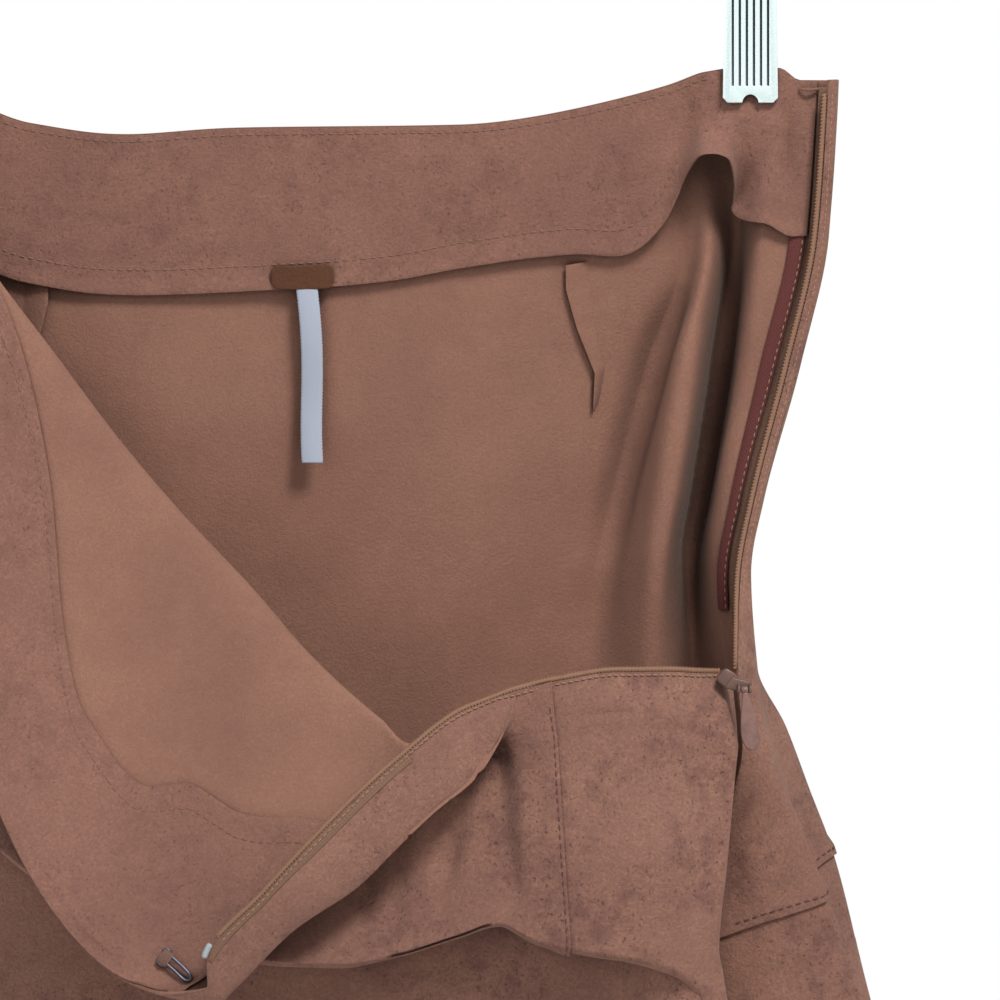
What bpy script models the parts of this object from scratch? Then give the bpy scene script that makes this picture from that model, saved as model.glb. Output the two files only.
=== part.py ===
"""A tiered mini skirt in faux suede, held by the clips of a plain hanger, with its side zip open.

The back hangs upright and shows its inside. The front is joined to it at the left side seam and below
the zip's slider, and its open top has flopped forward and down over its own lower part.

The tables are in millimetres, with x across the skirt, y from front to back and z up, measured from
the middle of the back waist. The origin of the finished part is the hanger hook's bearing point.
"""

import math
from collections import namedtuple

import bmesh
import bpy
import numpy as np

MM = 0.001

# Driving sizes
WALL = 1.0  # the suede's thickness
TRIM_WALL = 0.7  # tape, binding and labels
SEAM_GAP = 0.3
GRIP_DEPTH = 13.0  # how far the clips reach down over the waist
HOOK_TO_WAIST = 165.0  # the hook's bearing point lies this far above the tables' zero
BAR_Z = 75.0
BAR_RADIUS = 2.5
BAR_HALF_LENGTH = 172.0
HOOK_INNER_RADIUS = 20.0
HOOK_WIRE_RADIUS = 1.6
HOOK_STEM = 22.0  # its straight part, above the bar
HOOK_BEND = (5, -29)  # where the stem turns out, from the middle of the hook's round
HOOK_ROUND = (-42, 200)  # degrees

# Each clip: two jaws of plate on a pin. The front jaw is ribbed and has side walls, and the back one's
# strap hooks over the bar.
CLIP_X = 148.0
CLIP_WIDTH = 18.4
CLIP_BOTTOM_Z = 10.5
CLIP_TOP_Z = 62.0
CLIP_PLATE = 1.4
CLIP_CORNER = 2.0
CLIP_TAPER = 0.8
CLIP_RIBS = 6
CLIP_RIB_WIDTH = 1.0
CLIP_RIB_PITCH = 2.5
CLIP_RIB_RAISE = 0.5
CLIP_RIB_ENDS = (8.0, -3.0)  # from the jaw's bottom and top
CLIP_SIDE_INSET = 1.5
CLIP_SIDE_WALL = 1.2
CLIP_SIDE_REACH = 5.5
STRAP_HALF_WIDTH = 6.0
STRAP_PLAY = 0.4
CLIP_PIN_DROP = 14.0
RIGHT_CLIP_Y = -2.4  # the back of each front jaw
LEFT_CLIP_Y = -5.1

# The back, a row for each level. drop is the cloth's length down from the waist.
BackLevel = namedtuple("BackLevel", "drop left_x left_y middle_y")
BACK_LEVELS = (
    BackLevel(0, -166, 0.65, 3),
    BackLevel(14, -167, 0.65, 5),
    BackLevel(52, -171, 1, 11),
    BackLevel(95, -176, 1, 15),
    BackLevel(140, -181, 1, 19),
    BackLevel(165, -184, 1, 21),
    BackLevel(197, -188, 1, 23),
    BackLevel(215, -190, 1, 24),
    BackLevel(235, -193, 1, 25),
    BackLevel(259, -196, 1, 26),
    BackLevel(300, -201, 1, 28),
    BackLevel(376, -210, 1, 32),
)
TIER_DROP = 259.0
HEM_DROP = 376.0
ZIP_DROP = 197.0  # the slider, at the foot of the open zip
GRIP_DROP = 14.0  # the back stays flat in the clips down to here
GRIP_EASE = 60.0  # and has its full depth this far below

# The upright folds in the right of the back, on the same levels, as (x, y) of each fold's line.
BackFold = namedtuple("BackFold", "drop valley_1 ridge_2 valley_2 ridge_3")
BACK_FOLDS = (
    BackFold(0, (120, 2), (133, 0.4), (146, 0), (158, 0)),
    BackFold(14, (121, 4), (133.5, 0.5), (146, 0.2), (157.5, 0)),
    BackFold(52, (126, 14), (135, 5), (145, 16), (153, 3)),
    BackFold(95, (114, 24), (127, 6), (140, 24), (148, 4)),
    BackFold(140, (102, 28), (120.5, 7), (133, 26), (139.5, 4)),
    BackFold(165, (97, 26), (117, 8), (129, 25), (136, 8)),
    BackFold(197, (94, 26), (115, 10), (130, 25), (139, 12)),
    BackFold(215, (93, 26), (116, 12), (134, 25), (147, 15)),
    BackFold(235, (93, 26), (117, 14), (138, 26), (154, 17)),
    BackFold(259, (93, 27), (118, 16), (142, 27), (161, 18)),
    BackFold(300, (94, 28), (120, 17), (147, 29), (170, 18)),
    BackFold(376, (96, 32), (124, 18), (154, 33), (184, 18)),
)

# The right edge rolls forward: outline, then the forward ridge, then the edge of the cloth, which is
# the zip's coil down to the slider and the side seam below it.
BackEdge = namedtuple("BackEdge", "drop outline ridge edge")
BACK_EDGE = (
    BackEdge(0, (177.2, 0.3, 18.3), (176.6, -3.8, 18.2), (173.7, -5.4, 18)),
    BackEdge(14, (176.5, 0.3, 4.3), (175.9, -3.9, 4.2), (173, -5.5, 4)),
    BackEdge(52, (174, 0.3, -34), (173.4, -4.2, -34), (170.2, -5.8, -34)),
    BackEdge(95, (164.3, -1, -77), (163.6, -5.6, -77), (160.6, -6.6, -77)),
    BackEdge(140, (152.2, -3, -122), (151.7, -9, -122), (148.8, -11, -122)),
    BackEdge(165, (147.6, -4, -147), (147.4, -12, -147), (144, -15, -147)),
    BackEdge(197, (149.5, -4, -178), (148.8, -17, -178), (142.6, -26, -179)),
    BackEdge(215, (159, -3, -197), (152.5, -20, -200), (143.4, -25, -203)),
    BackEdge(235, (167, 0, -217), (161, -22, -222), (138, -23, -228)),
    BackEdge(259, (175.8, 2, -240), (172.5, -20, -253), (131, -22, -268)),
    BackEdge(300, (186, 3, -281), (184.5, -20, -285), (130, -24, -309)),
    BackEdge(376, (206, 4, -352), (202, -22, -357), (145, -34, -370)),
)

# Guide lines across the flat stretch of the back, left of its folds: the share of that stretch's width,
# and the share of the middle's depth. The first line is the side seam, and the second one is gripped.
FlatLine = namedtuple("FlatLine", "share depth")
FLAT_LINES = (
    FlatLine(0, None), FlatLine(0.10, 0.45), FlatLine(0.26, 0.76), FlatLine(0.37, 0.92), FlatLine(0.50, 1),
    FlatLine(0.76, 0.9),
)
GRIPPED_Y = 0.8

# The height of the back waist, by x.
WAIST_LINE = (
    (-166, 16.0), (-157, 20.0), (-138, 20.0), (-115, 11.0), (-90, 3.6), (-60, 0.4), (-24, 2.6),
    (46, 3.3), (72, 4.9), (94, 9.0), (113, 14.3), (128, 19.0), (137, 22.8), (158, 22.3), (167, 19.4),
    (177, 18.3),
)

# The lower edge of the back facing, as its drop below the waist, how far it lifts off the back, and how
# far it turns aside. Beside the clip it arches up, and its right side hooks back under.
FacingPoint = namedtuple("FacingPoint", "along drop lift aside")
FACING_EDGE = (
    FacingPoint(0.004, 50, 0, 0), FacingPoint(0.075, 51, 0.6, 0), FacingPoint(0.21, 53.2, 1.6, 0),
    FacingPoint(0.29, 53.4, 1.6, 0), FacingPoint(0.38, 54.4, 1.6, 0), FacingPoint(0.46, 51.4, 1.6, 0),
    FacingPoint(0.50, 47.2, 1.6, 0), FacingPoint(0.525, 46, 1.6, 0), FacingPoint(0.55, 46.9, 1.6, 0),
    FacingPoint(0.58, 50.2, 2, 0), FacingPoint(0.60, 44, 3.5, 0), FacingPoint(0.62, 35.5, 6, 0),
    FacingPoint(0.65, 28.8, 9, 0), FacingPoint(0.68, 28, 11, 0), FacingPoint(0.70, 29, 11, 0),
    FacingPoint(0.715, 31.5, 10.5, 0), FacingPoint(0.725, 37, 10, -0.6), FacingPoint(0.74, 44.5, 8, -2.8),
    FacingPoint(0.757, 49, 6, -3.2), FacingPoint(0.774, 51.2, 4, -1.4), FacingPoint(0.79, 51.8, 2.5, 0),
    FacingPoint(0.835, 51.8, 0.3, 0),
)
FACING_TOP = 0.6

# Each dart's intake: where its free fold lies from the middle, and how wide it is.
DartPoint = namedtuple("DartPoint", "drop fold_x width")
DART = (
    DartPoint(58, 86.5, 9), DartPoint(72, 90, 7), DartPoint(90, 96, 4.5), DartPoint(100, 95.6, 3),
    DartPoint(104, 95.5, 1.2),
)

# The front, a row for each section across its cloth, from the left side seam to the slider. free is
# the open top edge: the waist as far as its corner, then the zip. crest is where the cloth turns over.
# lip is the slump that hangs over the first seam, and tuck is how far the cloth goes back under it.
FrontSection = namedtuple("FrontSection", "across free crest lip tuck hem")
FRONT_SECTIONS = (
    FrontSection(0.03, (-149, -3.9, 20), (-150, -4.3, -14), (-178, -9, -130), 0, (-197, -10, -361)),
    FrontSection(0.05, (-137, -4.0, 20), (-140, -5.4, -14), (-172, -14, -134), 0, (-189, -16, -362)),
    FrontSection(0.09, (-133.5, -38, -14), (-130.5, -11, -17), (-165, -21, -147), 1, (-177, -22, -365)),
    FrontSection(0.13, (-130, -26, -62), (-121, -14, -22), (-157, -27, -162), 4, (-165, -28, -367)),
    FrontSection(0.25, (-120, -46, -140), (-99, -19, -52), (-134, -41, -195), 10, (-137, -40, -371)),
    FrontSection(0.38, (-104, -60, -205), (-76, -23, -83), (-108, -52, -225), 16, (-107, -50, -375)),
    FrontSection(0.50, (-80, -70, -253), (-55, -26, -109), (-80, -60, -247), 20, (-78, -50, -377)),
    FrontSection(0.58, (-55.6, -75, -276), (-38, -29, -129), (-56, -59, -259), 22, (-52, -58, -379)),
    FrontSection(0.61, (-42, -79.5, -279.5), (-31, -30.5, -137), (-46, -60, -262.5), 23, (-41, -61, -379)),
    FrontSection(0.635, (-28.6, -81.5, -277), (-23, -32, -145), (-34, -61.5, -266), 24, (-30, -62, -379)),
    FrontSection(0.65, (-29, -82, -270.5), (-17, -34, -151), (-26, -62.5, -268), 24, (-22, -61, -379)),
    FrontSection(0.70, (-10.5, -80, -248), (0, -39, -170), (-6, -65.5, -270.5), 24, (-4, -56, -378)),
    FrontSection(0.75, (6.4, -77, -230), (15, -44, -184), (14, -67, -271), 24, (17, -50, -377)),
    FrontSection(0.79, (20, -72, -216.5), (26, -50, -193), (32, -68, -268), 22, (35, -50, -376)),
    FrontSection(0.825, (32.5, -66, -205.5), (36, -56, -201), (51, -67, -262.2), 22, (50, -55, -376)),
    FrontSection(0.86, (52, -58, -190.6), (54, -54, -195), (65, -67, -258), 20, (67, -61, -376)),
    FrontSection(0.873, (61, -55, -187), (62.5, -52, -197.5), (70.5, -66.5, -260.5), 19, (74, -62, -376)),
    FrontSection(0.885, (69.6, -52, -184), (71.2, -53, -200), (76, -66, -263.5), 18, (81, -63, -376)),
    FrontSection(0.91, (84.5, -49, -180.6), (86.5, -55, -200), (90.5, -65, -266.8), 17, (97, -61, -375)),
    FrontSection(0.935, (103, -45, -178), (104, -52, -200), (106, -64, -269), 14, (116, -53, -374)),
    FrontSection(0.955, (120, -40, -178), (121, -47, -200), (121, -60, -272.5), 8, (134, -52, -373)),
    FrontSection(0.97, (130, -35.5, -178.6), (133.5, -42, -200), (131.5, -55, -276), 0, (146, -58, -373)),
    FrontSection(0.982, (136, -31.5, -178.8), (142, -41, -202), (135.3, -52, -268), 0, (153, -58, -372)),
    FrontSection(0.991, (139, -29.5, -179), (140, -32, -204), (131, -38, -262), 0, (148, -46, -371)),
)

# Every section gets a point on each guide line. down is the line's place from 0 at the free edge to 1 at
# the hem, rows is how many rows of faces lie before the next line, and left_z and right_z are the line's
# heights at the two side seams.
FrontGuide = namedtuple("FrontGuide", "line down rows left_z right_z")
FRONT_GUIDES = (
    FrontGuide("free", 0, 1, 16, -179),
    FrontGuide("roll_mid", 0.05, 2, 13, -183),
    FrontGuide("roll_edge", 0.10, 2, 10, -187),
    FrontGuide("roll_back", 0.15, 3, 6, -191),
    FrontGuide("flop_mid", 0.27, 3, -5, -197),
    FrontGuide("crest", 0.39, 2, -16, -204),
    FrontGuide("crest_back", 0.44, 3, -30, -210),
    FrontGuide("bulge", 0.56, 3, -90, -222),
    FrontGuide("lip", 0.68, 2, -126, -236),
    FrontGuide("lip_under", 0.71, 1, -131, -240),
    FrontGuide("recess", 0.74, 2, -135, -245),
    FrontGuide("upper_seam_low", 0.78, 3, -145, -251),
    FrontGuide("lower_seam", 0.89, 3, -243, -275),
    FrontGuide("hem", 1.0, 0, -360, -370),
)

# The left side seam, where the front's edge lies just before the back's.
SeamPoint = namedtuple("SeamPoint", "z x y")
LEFT_SEAM = (SeamPoint(16, -166, -3.8), SeamPoint(-36, -171, -3.8), SeamPoint(-80, -176.2, -0.85),
             SeamPoint(-360, -209, -0.85))

# At the right side seam the two edges part to leave room for each other's thickness.
BACK_SEAM_STEP = (0.9, 0, 0)
FRONT_SEAM_STEP = (-1.8, -0.4, 0)

# The rolled fold beyond the zip's coil, where the cloth's outside turns to the front.
RollPoint = namedtuple("RollPoint", "across point")
ROLL_EDGE = (
    RollPoint(0.61, (-41.3, -75.5, -281)), RollPoint(0.635, (-26, -79, -283)),
    RollPoint(0.65, (-21.5, -80, -279)), RollPoint(0.70, (-1, -81, -258.5)),
    RollPoint(0.75, (18.5, -77, -245.5)), RollPoint(0.79, (31, -74, -233.5)),
    RollPoint(0.825, (43, -70, -222.3)), RollPoint(0.86, (59.5, -64, -208.5)),
    RollPoint(0.873, (64.5, -60, -199.5)),
)

# How a section runs between its table's points. Where the open edge isn't rolled, its first lines lie
# this far from it, and in the narrow strip above the slider they share out the way to the crest.
ROLL_STEPS = (2.0, 4.4, 7.2)
NARROW_SHARES = (0.2, 0.4, 0.6, 0.8)
BEHIND_CREST = (1, 6, -7)
FULL_TUCK = 12.0  # a tuck of this depth or more folds right back

# How far the cloth between crest and lip hangs back, which is less where the rolled fold ends.
BellyStep = namedtuple("BellyStep", "across step")
BELLY = (BellyStep(0.79, 6), BellyStep(0.86, 2.5), BellyStep(0.873, -1), BellyStep(0.885, -4))

# Columns of faces before each section of the front, and after the last one.
FRONT_COLUMNS = (1, 1, 2, 2, 3, 3, 2, 2, 1, 1, 1, 2, 2, 2, 2, 2, 2, 2, 1, 1, 1, 1, 1, 1, 1)

# The front's lapped seams. The upper one turns up beside the right end of the yoke.
UPPER_SEAM_DOWN = 0.76
LOWER_SEAM_DOWN = 0.89
UPPER_SEAM_ACROSS = 0.905
SEAM_SLIT_DOWN = 0.0005
SEAM_SLIT_ACROSS = 0.0004

# The front facing, from the waist's free edge down to its lower edge, across the front. Past the corner
# it starts behind the rolled fold.
FacingEnds = namedtuple("FacingEnds", "across start end")
FRONT_FACING = (
    FacingEnds(0, 0.004, 0.43), FacingEnds(0.05, 0.004, 0.42), FacingEnds(0.13, 0.004, 0.40),
    FacingEnds(0.25, 0.004, 0.37), FacingEnds(0.38, 0.004, 0.32), FacingEnds(0.50, 0.004, 0.25),
    FacingEnds(0.54, 0.004, 0.25), FacingEnds(0.58, 0.06, 0.25), FacingEnds(0.61, 0.15, 0.25),
    FacingEnds(0.635, 0.17, 0.247),
    FacingEnds(0.68, 0.185, 0.225), FacingEnds(0.70, 0.195, 0.215),
)

# Where each guide line lies across the back, from the left side seam to the zip, and the columns and
# rows of faces between the guide lines and between the levels.
BACK_ALONG = (
    0, 0.075, 0.19, 0.29, 0.38, 0.50, 0.62, 0.68, 0.74, 0.79, 0.815, 0.835, 0.85, 0.87, 0.90, 0.935, 0.97, 1,
)
BACK_COLUMNS = (1, 2, 2, 2, 2, 4, 3, 4, 3, 1, 1, 1, 1, 1, 2, 3, 2)
BACK_ROWS = (2, 3, 3, 3, 2, 2, 2, 2, 2, 3, 3)

# The seam binding and the zip's tape beside the back's right outline, as distances in from it.
BINDING_OFFSET = 12.5
BINDING_WIDTH = 5.5
TAPE_END_OFFSET = 2.5
BINDING_ALONG = (0.815, 0.824, 0.833)
BINDING_DROPS = (53.0, 176.7)
BACK_TAPE_ALONG = (0.8375, 0.85, 0.868)
FRONT_TAPE_DOWN = (0.003, 0.047)

# The zip's coil and stop: half widths across, and along the cloth's thickness.
COIL_RADII = (1.1, 0.9)
STOP_RADII = (1.5, 1.2)

# The slider at the foot of the zip, and the tab's hinge line through its ears.
SLIDER_CENTRE = np.array((139.8, -36.6, -180.6))
SLIDER_ALONG = np.array((0.82, 0, -0.57))
SLIDER_ACROSS = np.array((0.57, 0, 0.82))
SLIDER_THICKNESS = 3.6
PIVOT = np.array((144.6, -41.0, -183.6))
SLIDER_OUTLINE = (
    (-4.2, 1.6), (-3.2, 3.1), (0, 3.3), (3.6, 2.4), (4.2, 0), (3.6, -2.4), (0, -3.3), (-3.2, -3.1),
    (-4.2, -1.6),
)
EAR_OUTLINE = ((-1.0, -1.0), (4.2, -1.4), (4.2, 2.6), (-0.4, 1.2))
EAR_STEP = 1.9
BRIDGE_OUTLINE = ((-6.5, 0.4), (2.3, -1.3), (2.3, 2.3), (-4, 4))
BRIDGE_DEPTHS = (2.2, 4.4)
BARREL_RADIUS = 1.0
BARREL_HALF = 1.1
TAB_THICKNESS = 1.4
TAB_LEAN = 0.12  # to the right for each millimetre down

# The pull tab's drop shape.
TabWidth = namedtuple("TabWidth", "drop half")
TAB_WIDTHS = (
    TabWidth(0.8, 0.9), TabWidth(2.5, 1.2), TabWidth(6, 1.9), TabWidth(11, 2.7), TabWidth(15, 3.0),
    TabWidth(18, 2.4), TabWidth(19.6, 1.2), TabWidth(20, 0.3),
)

# The bare label loop at centre back, and the ribbon that hangs from it.
LOOP_X = (-11.8, 9.2)
LOOP_DROPS = (45.5, 53.5)
RIBBON_WIDTH = 6.8
RIBBON_END_Z = -109.3
RIBBON_DRIFT = 2.7

# The waist hook's wire, as steps ahead, out and aside from where it is sewn, and the thread eye, a low
# arch. Their places are across and down their sheets.
HOOK_PLACE = (np.array([0.606]), np.array([0.155]))
HOOK_STAND = 1.1
HOOK_AHEAD = np.array((0.84, 0, -0.54))
HOOK_ASIDE = np.array((0.54, 0, 0.84))
HOOK_ROUTE = (
    (-5, 0, 1.6), (0, -0.6, 0.8), (3.4, -1.2, 0), (4.6, -1.2, -1.2), (3.0, -1.2, -2.4), (-1, -0.6, -1.8),
    (-5, 0, -1.2),
)
HOOK_WIRE = 0.55
EYE_PLACE = (np.array([0.812]), np.array([0.016]))
EYE_SPAN = 7.0
EYE_RISE = 1.6
EYE_WIRE = 0.5

# Colours
SUEDE = (0.26, 0.135, 0.095)
SUEDE_INSIDE = (0.31, 0.17, 0.12)
TAPE_BROWN = (0.16, 0.09, 0.055)
COIL_BROWN = (0.28, 0.19, 0.12)
BINDING_RUST = (0.17, 0.03, 0.023)
TAB_ROSE = (0.33, 0.2, 0.175)
LABEL_BROWN = (0.19, 0.08, 0.035)
RIBBON_BLUE = (0.38, 0.45, 0.54)
STEEL = (0.72, 0.8, 0.82)
DARK_STEEL = (0.12, 0.12, 0.15)
STOP_WHITE = (0.6, 0.62, 0.62)


# ---------------------------------------------------------------- materials and meshes

def material(name, colour, roughness, metallic=0.0):
    made = bpy.data.materials.new(name)
    made.use_nodes = True
    shader = made.node_tree.nodes["Principled BSDF"]
    shader.inputs["Base Color"].default_value = (*colour, 1.0)
    shader.inputs["Roughness"].default_value = roughness
    shader.inputs["Metallic"].default_value = metallic
    return made


def placed(points):
    """World metres of points given in the skirt's millimetres."""
    return (np.asarray(points, float) - (0, 0, HOOK_TO_WAIST)) * MM


def add_mesh(name, points, faces, finish, smooth=True):
    mesh = bpy.data.meshes.new(name)
    mesh.from_pydata([tuple(p) for p in placed(points)], [], [tuple(f) for f in faces])
    shape = bmesh.new()
    shape.from_mesh(mesh)
    bmesh.ops.remove_doubles(shape, verts=shape.verts, dist=0.02 * MM)
    bmesh.ops.recalc_face_normals(shape, faces=shape.faces)
    shape.to_mesh(mesh)
    shape.free()
    if smooth:
        mesh.shade_smooth()
        mesh.set_sharp_from_angle(angle=math.radians(40))
    mesh.materials.append(finish)
    obj = bpy.data.objects.new(name, mesh)
    bpy.context.scene.collection.objects.link(obj)
    return obj


def hermite(knots, values, at, guarded=False):
    """A smooth curve through values at the knots, read at the given places. It works on the first axis.

    A guarded curve never swings past the values at its knots.
    """
    knots = np.asarray(knots, float)
    values = np.asarray(values, float)
    at = np.atleast_1d(np.asarray(at, float))
    wide = (-1,) + (1,) * (values.ndim - 1)
    step = np.diff(knots).reshape(wide)
    slope = np.diff(values, axis=0) / step
    tangent = np.empty_like(values)
    tangent[0], tangent[-1] = slope[0], slope[-1]
    before, after = step[:-1], step[1:]
    tangent[1:-1] = (after * slope[:-1] + before * slope[1:]) / (before + after)
    if guarded:
        same = slope[:-1] * slope[1:] > 0
        safe = np.where(same, slope[:-1] + slope[1:], 1.0)
        tangent[1:-1] = np.where(same, 2 * slope[:-1] * slope[1:] / safe, 0)
    i = np.clip(np.searchsorted(knots, at, side="right") - 1, 0, len(knots) - 2)
    s = ((at - knots[i]) / np.diff(knots)[i]).reshape(wide)
    h = step[i]
    return (
        (2 * s**3 - 3 * s**2 + 1) * values[i] + (s**3 - 2 * s**2 + s) * h * tangent[i]
        + (3 * s**2 - 2 * s**3) * values[i + 1] + (s**3 - s**2) * h * tangent[i + 1]
    )


def between(start, end, share):
    return np.asarray(start, float) + (np.asarray(end, float) - np.asarray(start, float)) * share


def samples(knots, counts):
    """Places along the knots, with the given number of steps in each interval."""
    found = [knots[0]]
    for low, high, count in zip(knots, knots[1:], counts):
        found.extend(low + (high - low) * (k + 1) / count for k in range(count))
    return np.array(found)


def within(places, low, high):
    """The places from low to high, with both ends."""
    inside = places[(places > low + 1e-6) & (places < high - 1e-6)]
    return np.concatenate([[low], inside, [high]])


class Cloth:
    """A smooth sheet through guide lines: lines[i, j] is the point on line j at section i."""

    def __init__(self, across, down, lines):
        self.across, self.down, self.lines = across, down, np.asarray(lines, float)

    def at(self, across, down):
        sections = hermite(self.across, self.lines, across, guarded=True)
        return hermite(self.down, sections.transpose(1, 0, 2), down, guarded=True).transpose(1, 0, 2)

    def normals(self, across, down):
        """Unit normals. They face the inside of the skirt on the front, and its outside on the back."""
        small = 1e-4
        ends = np.clip([across - small, across + small], 0, 1)
        rows = np.clip([down - small, down + small], 0, 1)
        du = self.at(ends[1], down) - self.at(ends[0], down)
        dv = self.at(across, rows[1]) - self.at(across, rows[0])
        n = np.cross(du, dv)
        return n / np.linalg.norm(n, axis=2, keepdims=True)

    def layer(self, across, down, shift=0.0):
        """The sheet's points, moved out along its normals."""
        return self.at(across, down) + self.normals(across, down) * shift


def snapped(rows, low, high):
    """Rows that start at low and end at high, with the nearest rows moved there and the rest collapsed."""
    rows = np.clip(rows, low, high)
    first, last = abs(rows - low).argmin(), abs(rows - high).argmin()
    rows[:first + 1] = low
    rows[last:] = high
    return rows


def lying(cloth, columns, spans, rows, lift):
    """A layer off the sheet by its lift, on the sheet's own grid, between each column's ends."""
    grid, middle, normals = [], [], []
    for column, (low, high) in zip(columns, spans):
        at = np.array([column])
        places = snapped(rows, low, high)
        grid.append(places)
        normals.append(cloth.normals(at, places)[0])
        middle.append(cloth.at(at, places)[0] + normals[-1] * lift)
    height = np.diff(np.array(grid), axis=1)
    keep = (height[:-1] > 0) | (height[1:] > 0)
    return np.array(middle), np.array(normals), keep


def wall(name, middle, normals, thickness, finish, keep=None):
    """A closed thin solid around a grid of points. keep marks the cells of the grid that it has."""
    rows, columns = middle.shape[:2]
    if keep is None:
        keep = np.ones((rows - 1, columns - 1), bool)
    number = np.arange(rows * columns).reshape(rows, columns)
    faces, edges = [], {}
    for i, j in zip(*np.nonzero(keep)):
        corners = [number[i, j], number[i + 1, j], number[i + 1, j + 1], number[i, j + 1]]
        faces += [(corners[0], corners[1], corners[2]), (corners[0], corners[2], corners[3])]
        for a, b in zip(corners, corners[1:] + corners[:1]):
            if (b, a) in edges:
                del edges[b, a]
            else:
                edges[a, b] = True
    far = rows * columns
    sides = [(b, a, a + far, b + far) for a, b in edges]
    faces += [[c + far for c in reversed(f)] for f in faces]
    faces += sides
    half = normals * thickness / 2
    points = np.concatenate([(middle + half).reshape(-1, 3), (middle - half).reshape(-1, 3)])
    used = np.unique(np.array([c for f in faces for c in f]))
    renumber = {int(old): new for new, old in enumerate(used)}
    return add_mesh(name, points[used], [[renumber[int(c)] for c in f] for f in faces], finish)


def tube(name, route, radii, sides, finish):
    """A closed tube of elliptical section along a route: radii are across and along its up direction."""
    route = np.asarray(route, float)
    ahead = np.gradient(route, axis=0)
    ahead /= np.linalg.norm(ahead, axis=1, keepdims=True)
    up = np.array([0.0, 1.0, 0.0]) - ahead * ahead[:, 1:2]
    up /= np.linalg.norm(up, axis=1, keepdims=True)
    side = np.cross(ahead, up)
    turn = np.arange(sides) * 2 * math.pi / sides
    ring = side[:, None] * np.cos(turn)[:, None] * radii[0] + up[:, None] * np.sin(turn)[:, None] * radii[1]
    points = (route[:, None] + ring).reshape(-1, 3)
    faces = [
        (i * sides + k, i * sides + (k + 1) % sides, (i + 1) * sides + (k + 1) % sides, (i + 1) * sides + k)
        for i in range(len(route) - 1) for k in range(sides)
    ]
    faces += [tuple(range(sides)), tuple(range(len(points) - sides, len(points)))]
    return add_mesh(name, points, faces, finish)


def prism(name, outline, low, high, axis, finish, smooth=False):
    """An outline in two axes, extruded along the third. axis is 0 for x, 1 for y and 2 for z."""
    count = len(outline)
    points = [np.insert(np.asarray(p, float), axis, low) for p in outline]
    points += [np.insert(np.asarray(p, float), axis, high) for p in outline]
    faces = [(i, (i + 1) % count, (i + 1) % count + count, i + count) for i in range(count)]
    faces += [tuple(range(count)), tuple(range(count, 2 * count))]
    return add_mesh(name, points, faces, finish, smooth)


def union(obj, *others):
    """Joins the others into the object and removes them."""
    for other in others:
        modifier = obj.modifiers.new("join", "BOOLEAN")
        modifier.operation = "UNION"
        modifier.object = other
        graph = bpy.context.evaluated_depsgraph_get()
        mesh = bpy.data.meshes.new_from_object(obj.evaluated_get(graph))
        obj.modifiers.clear()
        obj.data = mesh
        bpy.data.objects.remove(other, do_unlink=True)
    return obj


# ---------------------------------------------------------------- the back

def waist_z(x):
    xs, zs = zip(*WAIST_LINE)
    return float(np.interp(x, xs, zs))


def back_cloth():
    """The back's sheet: across from the left side seam to the zip, and down from the waist to the hem."""
    lines = []
    tops = None
    for level, fold, edge in zip(BACK_LEVELS, BACK_FOLDS, BACK_EDGE):
        folds = [fold.valley_1, fold.ridge_2, fold.valley_2, fold.ridge_3]
        flat = [between(level.left_x, fold.valley_1[0], line.share) for line in FLAT_LINES]
        loose = np.clip((level.drop - GRIP_DROP) / GRIP_EASE, 0, 1)
        depth = [level.left_y] + [level.middle_y * line.depth for line in FLAT_LINES[1:]]
        depth[1] = between(GRIPPED_Y, depth[1], loose)
        if tops is None:
            tops = [waist_z(x) for x in flat + [f[0] for f in folds]]
        row = [(x, y, top - level.drop) for x, y, top in zip(flat, depth, tops)]
        row += [(x, y, top - level.drop) for (x, y), top in zip(folds, tops[len(flat):])]
        outline, ridge, end = (np.array(p, float) for p in edge[1:])
        for offset in (BINDING_OFFSET, BINDING_OFFSET - BINDING_WIDTH, TAPE_END_OFFSET):
            share = 1 - offset / BINDING_OFFSET
            x = max(outline[0] - offset, between(folds[-1][0], outline[0], 0.2 + 0.65 * share))
            y = between(folds[-1][1], outline[1] + 1.4, 0.35 + 0.6 * share)
            row.append((x, y, outline[2]))
        wrap = np.clip((level.drop - ZIP_DROP) / (TIER_DROP - ZIP_DROP), 0, 1)
        row.append(outline)
        row.append(between(outline, ridge, 0.5) - (7 * wrap, 0, 0))
        row.append(ridge)
        row.append(between(ridge, end, 0.5) - (0, 4 * wrap, 0))
        row.append(end + BACK_SEAM_STEP if level.drop > ZIP_DROP else end)
        lines.append(row)
    down = [level.drop / HEM_DROP for level in BACK_LEVELS]
    return Cloth(np.array(BACK_ALONG), np.array(down), np.array(lines, float).transpose(1, 0, 2))


def back_grid():
    return samples(BACK_ALONG, BACK_COLUMNS), samples([b.drop / HEM_DROP for b in BACK_LEVELS], BACK_ROWS)


def make_back(cloth, finish):
    along, down = back_grid()
    tier = TIER_DROP / HEM_DROP
    slit = SEAM_GAP / HEM_DROP
    upper = within(down, 0, tier - slit)
    lower = within(down, tier + slit, 1)
    wall("back_panel", cloth.at(along, upper), cloth.normals(along, upper), WALL, finish)
    wall("back_tier", cloth.at(along, lower), cloth.normals(along, lower), WALL, finish)


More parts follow.
